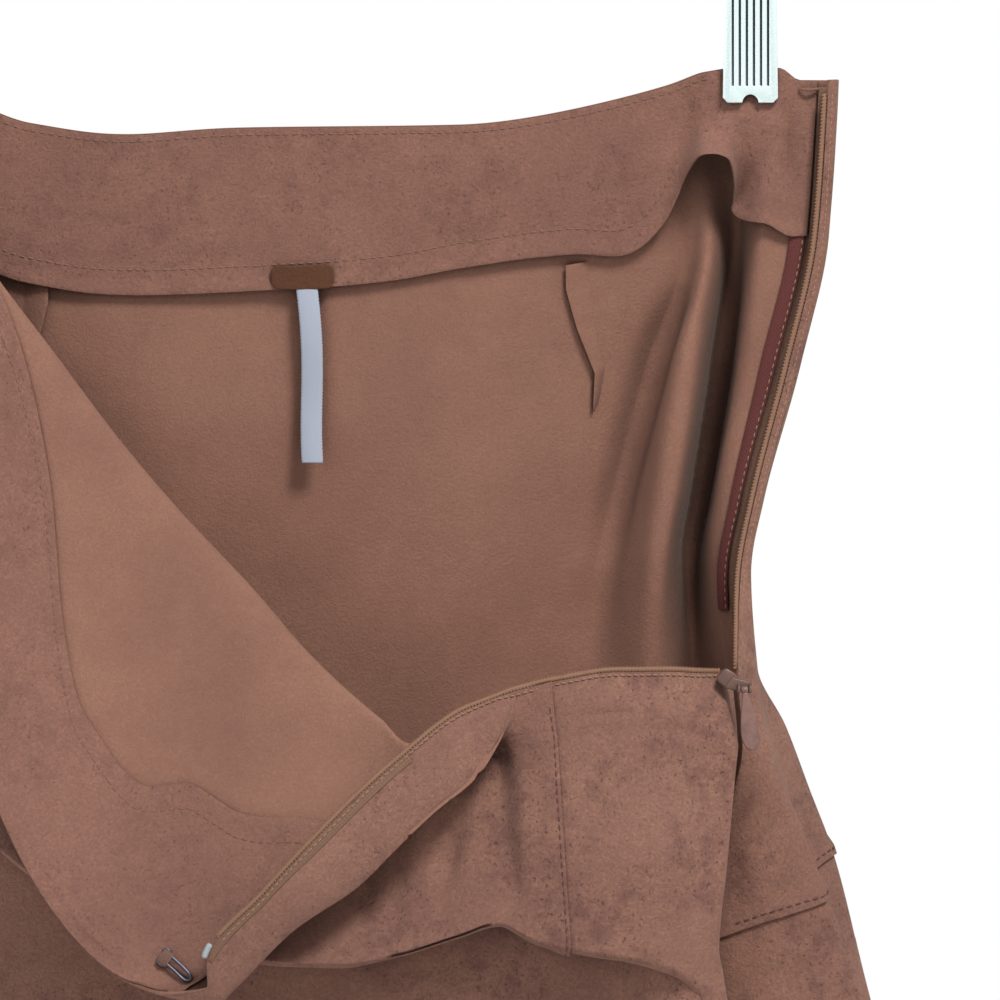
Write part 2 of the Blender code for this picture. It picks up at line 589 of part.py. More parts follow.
def make_back_facing(cloth, finish):
    """The facing follows the back at the waist, down to the table of its lower edge."""
    places = [p.along for p in FACING_EDGE]
    along, down = back_grid()
    along = within(along, places[0], places[-1])
    edge = hermite(places, [p[1:] for p in FACING_EDGE], along)
    spans = [(FACING_TOP / HEM_DROP, drop / HEM_DROP) for drop, _, _ in edge]
    reach = 60 / HEM_DROP
    rows = np.unique(np.concatenate([down[down < reach], np.linspace(0, reach, 9)]))
    middle, normals, keep = lying(cloth, along, spans, rows, -(WALL + SEAM_GAP * 1.5))
    for column, (drop, lift, aside) in enumerate(edge):
        below = waist_z_of(cloth, along[column]) - middle[column, :, 2] - GRIP_DEPTH
        reach = np.clip(below / (drop - GRIP_DEPTH), 0, 1)
        middle[column] += reach[:, None] ** 2 * (aside, -lift, 0)
    return wall("back_facing", middle, normals, WALL, finish, keep)


def facing_lift(along):
    places, lifts = zip(*((p.along, p.lift) for p in FACING_EDGE))
    return np.interp(along, places, lifts)


def waist_z_of(cloth, along):
    return cloth.at(np.array([along]), np.array([0.0]))[0, 0, 2]


def make_darts(cloth, finish):
    """Each dart's intake lies folded on the inside, its free fold towards the middle."""
    lift = WALL / 2 + SEAM_GAP * 3 + TRIM_WALL / 2
    knots, folds, breadths = zip(*DART)
    for name, sign in (("dart_right", 1), ("dart_left", -1)):
        drops = np.linspace(knots[0], knots[-1], 7)
        grid = []
        edges, widths = np.interp(drops, knots, folds), np.interp(drops, knots, breadths)
        for drop, fold, width in zip(drops, edges, widths):
            xs = [sign * (fold + width * share) for share in (0, 0.5, 1)]
            grid.append(cloth.layer(*locate(cloth, xs, drop), -lift)[:, 0])
        middle = np.array(grid)
        normals = np.zeros_like(middle)
        normals[..., 1] = 1
        wall(name, middle, normals, TRIM_WALL, finish)


def locate(cloth, xs, drop):
    """Places across the sheet where it reaches each x at one drop, and that place down."""
    along = np.linspace(0, 0.79, 400)
    down = np.array([drop / HEM_DROP])
    reach = cloth.at(along, down)[:, 0, 0]
    return np.interp(xs, reach, along), down


def make_zip_back(cloth, coil, tape, binding):
    _, down = back_grid()
    zip_down = ZIP_DROP / HEM_DROP
    lift = WALL / 2 + SEAM_GAP + TRIM_WALL / 2
    rows = within(down, 0.006, zip_down - 0.012)
    across = np.array(BACK_TAPE_ALONG)
    wall("zip_tape_back", cloth.layer(across, rows, -lift), cloth.normals(across, rows), TRIM_WALL, tape)
    rows = within(down, BINDING_DROPS[0] / HEM_DROP, BINDING_DROPS[1] / HEM_DROP)
    across = np.array(BINDING_ALONG)
    wall("seam_binding", cloth.layer(across, rows, -lift), cloth.normals(across, rows), TRIM_WALL, binding)
    rows = np.linspace(0.012, zip_down - 0.018, 30)
    ends = cloth.at(np.array([0.97, 1.0]), rows)
    outward = ends[1] - ends[0]
    outward /= np.linalg.norm(outward, axis=1, keepdims=True)
    route = ends[1] + outward * (COIL_RADII[0] + SEAM_GAP)
    tube("zip_coil_back", route, COIL_RADII, 6, coil)


# ---------------------------------------------------------------- the front

def side_seam_points(cloth, heights):
    """Points on the back's edge at the given heights, where the front meets it."""
    drops = np.linspace(ZIP_DROP, HEM_DROP, 200) / HEM_DROP
    edge = cloth.at(np.array([1.0]), drops)[0]
    return np.stack([np.interp(heights, edge[::-1, 2], edge[::-1, axis]) for axis in range(3)], axis=1)


def front_section(section):
    """The points of one section of the front, one for each guide line."""
    free, crest, lip, hem = (np.array(p, float) for p in section[1:4] + section[5:])
    first, last = ROLL_EDGE[0].across, ROLL_EDGE[-1].across
    narrow = float(section.across > last)
    drop = np.linalg.norm(crest - free)
    folded = 0.0 if narrow else np.clip((-crest[1] - 6) / 10, 0, 1)
    if first <= section.across <= last:
        roll = np.array(dict(ROLL_EDGE)[section.across], float)
        rise = np.linalg.norm(crest - roll)
        mid = between(free, roll, 0.5) - (0, min(2.2, np.linalg.norm(roll - free) * 0.15), 0)
        back = between(roll, crest, min(9 / rise, 0.36)) + (0, np.interp(rise, (8, 25), (0, 1.5)), 0)
        flop = between(roll, crest, np.interp(rise, (10, 60, 130), (0.7, 0.6, 0.55)))
        flop += (0, np.interp(rise, (8, 70), (0, 3.5)), 0)
    elif narrow:
        mid, roll, back, flop = (between(free, crest, s) for s in NARROW_SHARES)
    else:
        mid, roll, back = (between(free, crest, s / drop) for s in ROLL_STEPS)
        flop = between(free, crest, 0.5) + (0, min(3.5, drop / 20) * folded, 0)
    behind = between(between(crest, lip, 0.1), crest + BEHIND_CREST, folded)
    places, steps = zip(*BELLY)
    belly = np.interp(section.across, places, steps) * (folded + narrow)
    bulge = between(behind, lip, 0.55) + (0, belly, 0)
    fold = np.clip(section.tuck / FULL_TUCK, 0, 1)
    deep = section.tuck
    under = between(between(lip, hem, 0.05), lip + (0, deep * 0.45, -1.5), fold)
    recess = between(between(lip, hem, 0.09), lip + (0, deep * 0.9, deep / 8), fold)
    low = between(between(lip, hem, 0.14), lip + (0, deep, -9), fold)
    seam = between(low, hem, 0.46) + (0, 2, 0)
    return [free, mid, roll, back, flop, crest, behind, bulge, lip, under, recess, low, seam, hem]


def front_cloth(back):
    """The front's sheet: across from the left side seam to the slider, and down from its open edge."""
    heights, xs, ys = zip(*reversed(LEFT_SEAM))
    left = [[np.interp(g.left_z, heights, values) for values in (xs, ys)] + [g.left_z] for g in FRONT_GUIDES]
    right = side_seam_points(back, [g.right_z for g in FRONT_GUIDES]) + FRONT_SEAM_STEP
    sections = [left] + [front_section(s) for s in FRONT_SECTIONS] + [right]
    across = [0.0] + [s.across for s in FRONT_SECTIONS] + [1.0]
    down = [g.down for g in FRONT_GUIDES]
    return Cloth(np.array(across), np.array(down), np.array(sections, float))


def front_grid(cloth):
    across = samples(cloth.across, FRONT_COLUMNS)
    down = samples([g.down for g in FRONT_GUIDES], [g.rows for g in FRONT_GUIDES])
    slits = [UPPER_SEAM_ACROSS - SEAM_SLIT_ACROSS, UPPER_SEAM_ACROSS + SEAM_SLIT_ACROSS]
    across = np.unique(np.round(np.concatenate([across, slits]), 7))
    seams = [s + d for s in (UPPER_SEAM_DOWN, LOWER_SEAM_DOWN) for d in (-SEAM_SLIT_DOWN, SEAM_SLIT_DOWN)]
    down = down[(abs(down - UPPER_SEAM_DOWN) > 0.004) & (abs(down - LOWER_SEAM_DOWN) > 0.004)]
    return across, np.unique(np.round(np.concatenate([down, seams]), 7))


def make_front(cloth, finish):
    across, down = front_grid(cloth)
    u, v = np.meshgrid((across[:-1] + across[1:]) / 2, (down[:-1] + down[1:]) / 2, indexing="ij")
    in_yoke = (u < UPPER_SEAM_ACROSS - SEAM_SLIT_ACROSS) & (v < UPPER_SEAM_DOWN - SEAM_SLIT_DOWN)
    past = (u > UPPER_SEAM_ACROSS + SEAM_SLIT_ACROSS) | (v > UPPER_SEAM_DOWN + SEAM_SLIT_DOWN)
    middle, normals = cloth.at(across, down), cloth.normals(across, down)
    wall("front_yoke", middle, normals, WALL, finish, in_yoke)
    wall("front_tier_1", middle, normals, WALL, finish, past & (v < LOWER_SEAM_DOWN - SEAM_SLIT_DOWN))
    wall("front_tier_2", middle, normals, WALL, finish, v > LOWER_SEAM_DOWN + SEAM_SLIT_DOWN)


def make_front_facing(cloth, finish):
    """The facing lies inside the front's waist, and ends under the rolled edge beside the zip."""
    across, down = front_grid(cloth)
    places, starts, ends = zip(*FRONT_FACING)
    columns = within(across, 0.004, places[-1])
    spans = list(zip(np.interp(columns, places, starts), np.interp(columns, places, ends)))
    rows = down[down < 0.5]
    middle, normals, keep = lying(cloth, columns, spans, rows, WALL + SEAM_GAP * 1.5)
    return wall("front_facing", middle, normals, WALL, finish, keep)


def make_zip_front(cloth, coil, tape, stop):
    across, _ = front_grid(cloth)
    columns = within(across, 0.655, 0.975)
    rows = np.array(FRONT_TAPE_DOWN)
    lift = WALL / 2 + SEAM_GAP + TRIM_WALL / 2
    wall("zip_tape_front", cloth.layer(columns, rows, lift), cloth.normals(columns, rows), TRIM_WALL, tape)
    columns = np.linspace(0.668, 0.981, 44)
    route = coil_route(cloth, columns)
    tube("zip_coil_front", route, COIL_RADII, 6, coil)
    route = coil_route(cloth, np.array([0.653, 0.6575, 0.662]))
    tube("zip_top_stop", route, STOP_RADII, 8, stop)


def coil_route(cloth, columns):
    """The zip's coil runs just outside the cloth's free edge."""
    ends = cloth.at(columns, np.array([0.0, 0.03]))
    outward = ends[:, 0] - ends[:, 1]
    outward /= np.linalg.norm(outward, axis=1, keepdims=True)
    return ends[:, 0] + outward * (COIL_RADII[0] + SEAM_GAP)


# ---------------------------------------------------------------- the hanger

def make_hanger(steel):
    bar = [(x, 0, BAR_Z) for x in np.linspace(-BAR_HALF_LENGTH, BAR_HALF_LENGTH, 5)]
    tube("hanger_bar", bar, (BAR_RADIUS, BAR_RADIUS), 12, steel)
    radius = HOOK_INNER_RADIUS + HOOK_WIRE_RADIUS
    centre_z = HOOK_TO_WAIST - HOOK_INNER_RADIUS
    foot = BAR_Z + BAR_RADIUS + SEAM_GAP
    bend = (HOOK_BEND[0], centre_z + HOOK_BEND[1])
    stem = [(0, foot), (0, foot + HOOK_STEM / 2), (0, foot + HOOK_STEM), bend]
    turns = np.radians(np.linspace(*HOOK_ROUND, 22))
    arc = [(radius * math.cos(t), centre_z + radius * math.sin(t)) for t in turns]
    route = np.array(stem + arc)
    length = np.concatenate([[0], np.cumsum(np.linalg.norm(np.diff(route, axis=0), axis=1))])
    flat = hermite(length, route, np.linspace(0, length[-1], 44))
    route = np.stack([flat[:, 0], np.zeros(len(flat)), flat[:, 1]], axis=1)
    tube("hanger_hook", route, (HOOK_WIRE_RADIUS, HOOK_WIRE_RADIUS), 10, steel)


def make_front_jaw(name, centre, front_y, steel):
    """A ribbed plate with a side wall near each edge."""
    half = CLIP_WIDTH / 2
    bottom, top = CLIP_BOTTOM_Z, CLIP_TOP_Z
    left, right = centre - half, centre + half
    outline = [(left, bottom + CLIP_CORNER), (left + CLIP_CORNER, bottom), (right - CLIP_CORNER, bottom),
               (right, bottom + CLIP_CORNER), (right - CLIP_TAPER, top), (left + CLIP_TAPER, top)]
    plate = prism(name, outline, front_y - CLIP_PLATE, front_y, 1, steel)
    inside, far = front_y - CLIP_PLATE / 2, front_y + CLIP_SIDE_REACH
    side = [(inside, bottom + 20), (far, bottom + 24), (far, top - 4), (inside, top - 1)]
    others = []
    for x in (left + CLIP_SIDE_INSET, right - CLIP_SIDE_INSET):
        others.append(prism("side", side, x - CLIP_SIDE_WALL / 2, x + CLIP_SIDE_WALL / 2, 0, steel))
    low, high = bottom + CLIP_RIB_ENDS[0], top + CLIP_RIB_ENDS[1]
    for k in range(CLIP_RIBS):
        x = centre + (k - (CLIP_RIBS - 1) / 2) * CLIP_RIB_PITCH
        x0, x1 = x - CLIP_RIB_WIDTH / 2, x + CLIP_RIB_WIDTH / 2
        rib = [(x0, low), (x1, low), (x1, high), (x0, high)]
        others.append(prism("rib", rib, front_y - CLIP_PLATE - CLIP_RIB_RAISE, inside, 1, steel))
    union(plate, *others)


def make_clip(side, sign, front_y, steel):
    """Two jaws on a pin, round the bar."""
    centre = sign * CLIP_X
    make_front_jaw(f"clip_{side}_front", centre, front_y, steel)
    bottom = CLIP_BOTTOM_Z
    inner = WALL / 2 + SEAM_GAP * 3
    outer = inner + CLIP_PLATE
    reach = BAR_RADIUS + STRAP_PLAY
    far = reach + CLIP_PLATE
    turns = np.radians(np.linspace(0, 180, 9))
    hook_out = [(far * math.cos(t), BAR_Z + far * math.sin(t)) for t in turns]
    hook_in = [(reach * math.cos(t), BAR_Z + reach * math.sin(t)) for t in turns[::-1]]
    edge = [(inner, bottom + 1), (outer, bottom + 1), (far, bottom + 24)] + hook_out
    edge += [(-far, BAR_Z - 4), (-reach, BAR_Z - 4)] + hook_in
    edge += [(reach, bottom + 25), (inner, bottom + 14)]
    strap = (centre - STRAP_HALF_WIDTH, centre + STRAP_HALF_WIDTH)
    prism(f"clip_{side}_back", edge, *strap, 0, steel, True)
    half = CLIP_WIDTH / 2 - CLIP_SIDE_INSET - 1
    pin = [(centre + x, (front_y + reach) / 2 + 0.1, CLIP_TOP_Z - CLIP_PIN_DROP) for x in (-half, 0, half)]
    radius = (reach - front_y) / 2 - SEAM_GAP
    tube(f"clip_{side}_pin", pin, (radius, radius), 10, steel)


# ---------------------------------------------------------------- small pieces

def make_labels(cloth, loop_finish, ribbon_finish):
    along, _ = locate(cloth, np.linspace(*LOOP_X, 7), sum(LOOP_DROPS) / 2)
    rows = np.linspace(*LOOP_DROPS, 4) / HEM_DROP
    shift = -(WALL * 1.5 + SEAM_GAP * 2.5 + TRIM_WALL / 2)
    middle = cloth.layer(along, rows, shift) - (0, facing_lift(0.38), 0)
    wall("label_loop", middle, cloth.normals(along, rows), TRIM_WALL, loop_finish)
    top = middle[4, -1] + (0, WALL / 2, 0)
    heights = np.linspace(top[2] - 0.6, RIBBON_END_Z, 8)
    drift = np.interp(heights, (RIBBON_END_Z, top[2]), (RIBBON_DRIFT, 0))
    depth = np.interp(heights, (RIBBON_END_Z, top[2]), (top[1] + 1.5, top[1]))
    offsets = (-RIBBON_WIDTH / 2, 0, RIBBON_WIDTH / 2)
    middle = np.array([[(dx + w, y, z) for z, dx, y in zip(heights, drift, depth)] for w in offsets])
    normals = np.zeros_like(middle)
    normals[..., 1] = 1
    wall("care_ribbon", middle, normals, TRIM_WALL, ribbon_finish)


def make_fasteners(front, back, steel, thread):
    """The waist hook inside the front's corner, and the thread eye on the back beside the zip."""
    spot = front.layer(*HOOK_PLACE, WALL * 1.5 + SEAM_GAP * 2.5 + HOOK_STAND)[0, 0]
    route = [spot + HOOK_AHEAD * a + HOOK_ASIDE * b + (0, c, 0) for a, c, b in HOOK_ROUTE]
    tube("waist_hook", route, (HOOK_WIRE, HOOK_WIRE), 6, steel)
    spot = back.layer(*EYE_PLACE, -(WALL * 1.5 + SEAM_GAP * 2 + EYE_WIRE))[0, 0]
    half = EYE_SPAN / 2
    arch = [(x, -EYE_RISE * math.cos(math.pi * x / EYE_SPAN), 0) for x in np.linspace(-half, half, 9)]
    tube("thread_eye", [spot + a for a in arch], (EYE_WIRE, EYE_WIRE), 6, thread)


def make_slider(finish, tab_finish):
    """The slider at the foot of the open zip, and the drop-shaped tab on its pivot."""
    flat = [SLIDER_CENTRE + SLIDER_ALONG * a + SLIDER_ACROSS * b for a, b in SLIDER_OUTLINE]
    half = SLIDER_THICKNESS / 2
    outline = [(p[0], p[2]) for p in flat]
    body = prism("zip_slider", outline, SLIDER_CENTRE[1] - half, SLIDER_CENTRE[1] + half, 1, finish)
    x, y, z = PIVOT
    ear = [(y + a, z + b) for a, b in EAR_OUTLINE]
    ears = [prism("ear", ear, x + step - 0.5, x + step + 0.5, 0, finish) for step in (-EAR_STEP, EAR_STEP)]
    bridge = [(x + a, z + b) for a, b in BRIDGE_OUTLINE]
    union(body, prism("bridge", bridge, y + BRIDGE_DEPTHS[0], y + BRIDGE_DEPTHS[1], 1, finish), *ears)
    left = [(x - half + TAB_LEAN * drop, z - drop) for drop, half in TAB_WIDTHS]
    right = [(x + half + TAB_LEAN * drop, z - drop) for drop, half in reversed(TAB_WIDTHS)]
    tab = prism("zip_pull_tab", left + right, y - TAB_THICKNESS / 2, y + TAB_THICKNESS / 2, 1, tab_finish)
    barrel = [PIVOT + (step, 0, 0) for step in (-BARREL_HALF, 0, BARREL_HALF)]
    union(tab, tube("barrel", barrel, (BARREL_RADIUS, BARREL_RADIUS), 10, tab_finish))


# ---------------------------------------------------------------- the whole

def main():
    for obj in list(bpy.data.objects):
        bpy.data.objects.remove(obj, do_unlink=True)
    suede = material("suede", SUEDE, 0.9)
    inside = material("suede_inside", SUEDE_INSIDE, 0.95)
    tape = material("zip_tape", TAPE_BROWN, 0.8)
    coil = material("zip_coil", COIL_BROWN, 0.45)
    binding = material("binding", BINDING_RUST, 0.7)
    rose = material("tab_rose", TAB_ROSE, 0.5)
    label = material("label_brown", LABEL_BROWN, 0.8)
    ribbon = material("ribbon_blue", RIBBON_BLUE, 0.6)
    steel = material("clip_steel", STEEL, 0.3, 1.0)
    dark_steel = material("dark_steel", DARK_STEEL, 0.35, 1.0)
    white = material("stop_white", STOP_WHITE, 0.4)
    back = back_cloth()
    front = front_cloth(back)
    make_back(back, suede)
    make_back_facing(back, suede)
    make_darts(back, inside)
    make_zip_back(back, coil, tape, binding)
    make_front(front, suede)
    make_front_facing(front, suede)
    make_zip_front(front, coil, tape, white)
    make_labels(back, label, ribbon)
    make_fasteners(front, back, dark_steel, inside)
    make_slider(rose, rose)
    make_hanger(steel)
    make_clip("right", 1, RIGHT_CLIP_Y, steel)
    make_clip("left", -1, LEFT_CLIP_Y, steel)


main()
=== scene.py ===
"""The looks of the tiered suede skirt: fine cloth, sewing, zip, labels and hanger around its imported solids.

The tables repeat the part's own, in millimetres, with x across the skirt, y from front to back and z up,
measured from the middle of the back waist. The frame is in metres, from the hanger hook's bearing point.
"""

import math
from collections import namedtuple

import bmesh
import bpy
import numpy as np
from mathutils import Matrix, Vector


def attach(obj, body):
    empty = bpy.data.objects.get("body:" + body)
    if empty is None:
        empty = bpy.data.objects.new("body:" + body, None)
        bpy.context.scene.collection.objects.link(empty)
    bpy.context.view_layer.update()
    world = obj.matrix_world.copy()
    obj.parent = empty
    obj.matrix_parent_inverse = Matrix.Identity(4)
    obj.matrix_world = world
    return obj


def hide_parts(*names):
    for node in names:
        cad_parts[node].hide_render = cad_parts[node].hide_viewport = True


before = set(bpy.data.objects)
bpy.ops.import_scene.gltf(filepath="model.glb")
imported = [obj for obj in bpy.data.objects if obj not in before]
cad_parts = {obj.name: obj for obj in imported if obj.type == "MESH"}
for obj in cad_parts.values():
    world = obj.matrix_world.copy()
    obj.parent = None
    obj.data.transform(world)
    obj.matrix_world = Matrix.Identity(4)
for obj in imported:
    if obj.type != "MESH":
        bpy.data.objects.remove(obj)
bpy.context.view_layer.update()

MM = 0.001


def table(kind, *rows):
    """Rows of one kind, whose columns have names."""
    return [kind(*row) for row in rows]


# Driving sizes
WALL = 1.0  # the suede's thickness
TRIM_WALL = 0.7  # tape, binding and labels
SEAM_GAP = 0.3
GRIP_DEPTH = 13.0  # how far the clips reach down over the waist
HOOK_TO_WAIST = 165.0  # the hook's bearing point lies this far above the tables' zero
BAR_Z = 75.0
BAR_RADIUS = 2.5
BAR_HALF_LENGTH = 172.0
HOOK_INNER_RADIUS = 20.0
HOOK_WIRE_RADIUS = 1.6
HOOK_STEM = 22.0  # its straight part, above the bar
HOOK_BEND = (5, -29)  # where the stem turns out, from the middle of the hook's round
HOOK_ROUND = (-42, 200)  # degrees

CLIP_X = 148.0
CLIP_WIDTH = 18.4
CLIP_BOTTOM_Z = 10.5
CLIP_TOP_Z = 62.0
CLIP_PLATE = 1.4
CLIP_CORNER = 1.6
CLIP_TAPER = 0.8
CLIP_EDGE = 0.6  # the back jaw and the pin are this much narrower at each side
GROOVES = 6
GROOVE_PITCH = 2.35
GROOVE_HALF = 0.36
GROOVE_ENDS = (5.6, -3)  # from the jaw's bottom and top
NOTCH = (2.7, 3.2, -0.5)  # its half width, its height and where it starts
SIDE_WALL_INSET = 1.1
SIDE_WALL_HALF = 0.6
SIDE_WALL_REACH = 5.5
STRAP_HALF = 6.0  # the back jaw's strap, which hooks over the bar
STRAP_PLAY = 0.2
CLIP_PIN_DROP = 14.0
CLIP_SIDES = (("right", 1, -2.4), ("left", -1, -5.1))  # its name, its side of x, and its front jaw's back

# The back, a row for each level. drop is the cloth's length down from the waist.
BackLevel = namedtuple("BackLevel", "drop left_x left_y middle_y")
BACK_LEVELS = table(
    BackLevel,
    (0, -166, 0.65, 3), (14, -167, 0.65, 5), (52, -171, 1, 11), (95, -176, 1, 15), (140, -181, 1, 19),
    (165, -184, 1, 21), (197, -188, 1, 23), (215, -190, 1, 24), (235, -193, 1, 25), (259, -196, 1, 26),
    (300, -201, 1, 28), (376, -210, 1, 32),
)
TIER_DROP = 259.0
HEM_DROP = 376.0
ZIP_DROP = 197.0  # the slider, at the foot of the open zip
GRIP_DROP = 14.0  # the back stays flat in the clips down to here
GRIP_EASE = 60.0  # and has its full depth this far below

# The upright folds in the right of the back, on the same levels, as (x, y) of each fold's line.
BackFold = namedtuple("BackFold", "drop valley_1 ridge_2 valley_2 ridge_3")
BACK_FOLDS = table(
    BackFold,
    (0, (120, 2), (133, 0.4), (146, 0), (158, 0)), (14, (121, 4), (133.5, 0.5), (146, 0.2), (157.5, 0)),
    (52, (126, 14), (135, 5), (145, 16), (153, 3)), (95, (114, 24), (127, 6), (140, 24), (148, 4)),
    (140, (102, 28), (120.5, 7), (133, 26), (139.5, 4)), (165, (97, 26), (117, 8), (129, 25), (136, 8)),
    (197, (94, 26), (115, 10), (130, 25), (139, 12)), (215, (93, 26), (116, 12), (134, 25), (147, 15)),
    (235, (93, 26), (117, 14), (138, 26), (154, 17)), (259, (93, 27), (118, 16), (142, 27), (161, 18)),
    (300, (94, 28), (120, 17), (147, 29), (170, 18)), (376, (96, 32), (124, 18), (154, 33), (184, 18)),
)

# The right edge rolls forward: outline, then the forward ridge, then the edge of the cloth, which is
# the zip's coil down to the slider and the side seam below it.
BackEdge = namedtuple("BackEdge", "drop outline ridge edge")
BACK_EDGE = table(
    BackEdge,
    (0, (177.2, 0.3, 18.3), (176.6, -3.8, 18.2), (173.7, -5.4, 18)),
    (14, (176.5, 0.3, 4.3), (175.9, -3.9, 4.2), (173, -5.5, 4)),
    (52, (174, 0.3, -34), (173.4, -4.2, -34), (170.2, -5.8, -34)),
    (95, (164.3, -1, -77), (163.6, -5.6, -77), (160.6, -6.6, -77)),
    (140, (152.2, -3, -122), (151.7, -9, -122), (148.8, -11, -122)),
    (165, (147.6, -4, -147), (147.4, -12, -147), (144, -15, -147)),
    (197, (149.5, -4, -178), (148.8, -17, -178), (142.6, -26, -179)),
    (215, (159, -3, -197), (152.5, -20, -200), (143.4, -25, -203)),
    (235, (167, 0, -217), (161, -22, -222), (138, -23, -228)),
    (259, (175.8, 2, -240), (172.5, -20, -253), (131, -22, -268)),
    (300, (186, 3, -281), (184.5, -20, -285), (130, -24, -309)),
    (376, (206, 4, -352), (202, -22, -357), (145, -34, -370)),
)

# Guide lines across the flat stretch of the back, left of its folds: the share of that stretch's width,
# and the share of the middle's depth. The first line is the side seam, and the second one is gripped.
FlatLine = namedtuple("FlatLine", "share depth")
FLAT_LINES = table(
    FlatLine,
    (0, None), (0.10, 0.45), (0.26, 0.76), (0.37, 0.92), (0.50, 1), (0.76, 0.9),
)
GRIPPED_Y = 0.8

# The height of the back waist, by x.
WAIST_LINE = (
    (-166, 16.0), (-157, 20.0), (-138, 20.0), (-115, 11.0), (-90, 3.6), (-60, 0.4), (-24, 2.6),
    (46, 3.3), (72, 4.9), (94, 9.0), (113, 14.3), (128, 19.0), (137, 22.8), (158, 22.3), (167, 19.4),
    (177, 18.3),
)

# The lower edge of the back facing, as its drop below the waist, how far it lifts off the back, and how
# far it turns aside. Beside the clip it arches up, and its right side hooks back under.
FacingPoint = namedtuple("FacingPoint", "along drop lift aside")
FACING_EDGE = table(
    FacingPoint,
    (0.004, 50, 0, 0), (0.075, 51, 0.6, 0), (0.21, 53.2, 1.6, 0), (0.29, 53.4, 1.6, 0),
    (0.38, 54.4, 1.6, 0), (0.46, 51.4, 1.6, 0), (0.50, 47.2, 1.6, 0), (0.525, 46, 1.6, 0),
    (0.55, 46.9, 1.6, 0), (0.58, 50.2, 2, 0), (0.60, 44, 3.5, 0), (0.62, 35.5, 6, 0), (0.65, 28.8, 9, 0),
    (0.68, 28, 11, 0), (0.70, 29, 11, 0), (0.715, 31.5, 10.5, 0), (0.725, 37, 10, -0.6),
    (0.74, 44.5, 8, -2.8), (0.757, 49, 6, -3.2), (0.774, 51.2, 4, -1.4), (0.79, 51.8, 2.5, 0),
    (0.835, 51.8, 0.3, 0),
)

# Each dart's intake: where its free fold lies from the middle, and how wide it is.
DartPoint = namedtuple("DartPoint", "drop fold_x width")
DART = table(
    DartPoint,
    (58, 86.5, 9), (72, 90, 7), (90, 96, 4.5), (100, 95.6, 3), (104, 95.5, 1.2),
)

# The front, a row for each section across its cloth, from the left side seam to the slider. free is
# the open top edge: the waist as far as its corner, then the zip. crest is where the cloth turns over.
# lip is the slump that hangs over the first seam, and tuck is how far the cloth goes back under it.
FrontSection = namedtuple("FrontSection", "across free crest lip tuck hem")
FRONT_SECTIONS = table(
    FrontSection,
    (0.03, (-149, -3.9, 20), (-150, -4.3, -14), (-178, -9, -130), 0, (-197, -10, -361)),
    (0.05, (-137, -4.0, 20), (-140, -5.4, -14), (-172, -14, -134), 0, (-189, -16, -362)),
    (0.09, (-133.5, -38, -14), (-130.5, -11, -17), (-165, -21, -147), 1, (-177, -22, -365)),
    (0.13, (-130, -26, -62), (-121, -14, -22), (-157, -27, -162), 4, (-165, -28, -367)),
    (0.25, (-120, -46, -140), (-99, -19, -52), (-134, -41, -195), 10, (-137, -40, -371)),
    (0.38, (-104, -60, -205), (-76, -23, -83), (-108, -52, -225), 16, (-107, -50, -375)),
    (0.50, (-80, -70, -253), (-55, -26, -109), (-80, -60, -247), 20, (-78, -50, -377)),
    (0.58, (-55.6, -75, -276), (-38, -29, -129), (-56, -59, -259), 22, (-52, -58, -379)),
    (0.61, (-42, -79.5, -279.5), (-31, -30.5, -137), (-46, -60, -262.5), 23, (-41, -61, -379)),
    (0.635, (-28.6, -81.5, -277), (-23, -32, -145), (-34, -61.5, -266), 24, (-30, -62, -379)),
    (0.65, (-29, -82, -270.5), (-17, -34, -151), (-26, -62.5, -268), 24, (-22, -61, -379)),
    (0.70, (-10.5, -80, -248), (0, -39, -170), (-6, -65.5, -270.5), 24, (-4, -56, -378)),
    (0.75, (6.4, -77, -230), (15, -44, -184), (14, -67, -271), 24, (17, -50, -377)),
    (0.79, (20, -72, -216.5), (26, -50, -193), (32, -68, -268), 22, (35, -50, -376)),
    (0.825, (32.5, -66, -205.5), (36, -56, -201), (51, -67, -262.2), 22, (50, -55, -376)),
    (0.86, (52, -58, -190.6), (54, -54, -195), (65, -67, -258), 20, (67, -61, -376)),
    (0.873, (61, -55, -187), (62.5, -52, -197.5), (70.5, -66.5, -260.5), 19, (74, -62, -376)),
    (0.885, (69.6, -52, -184), (71.2, -53, -200), (76, -66, -263.5), 18, (81, -63, -376)),
    (0.91, (84.5, -49, -180.6), (86.5, -55, -200), (90.5, -65, -266.8), 17, (97, -61, -375)),
    (0.935, (103, -45, -178), (104, -52, -200), (106, -64, -269), 14, (116, -53, -374)),
    (0.955, (120, -40, -178), (121, -47, -200), (121, -60, -272.5), 8, (134, -52, -373)),
    (0.97, (130, -35.5, -178.6), (133.5, -42, -200), (131.5, -55, -276), 0, (146, -58, -373)),
    (0.982, (136, -31.5, -178.8), (142, -41, -202), (135.3, -52, -268), 0, (153, -58, -372)),
    (0.991, (139, -29.5, -179), (140, -32, -204), (131, -38, -262), 0, (148, -46, -371)),
)

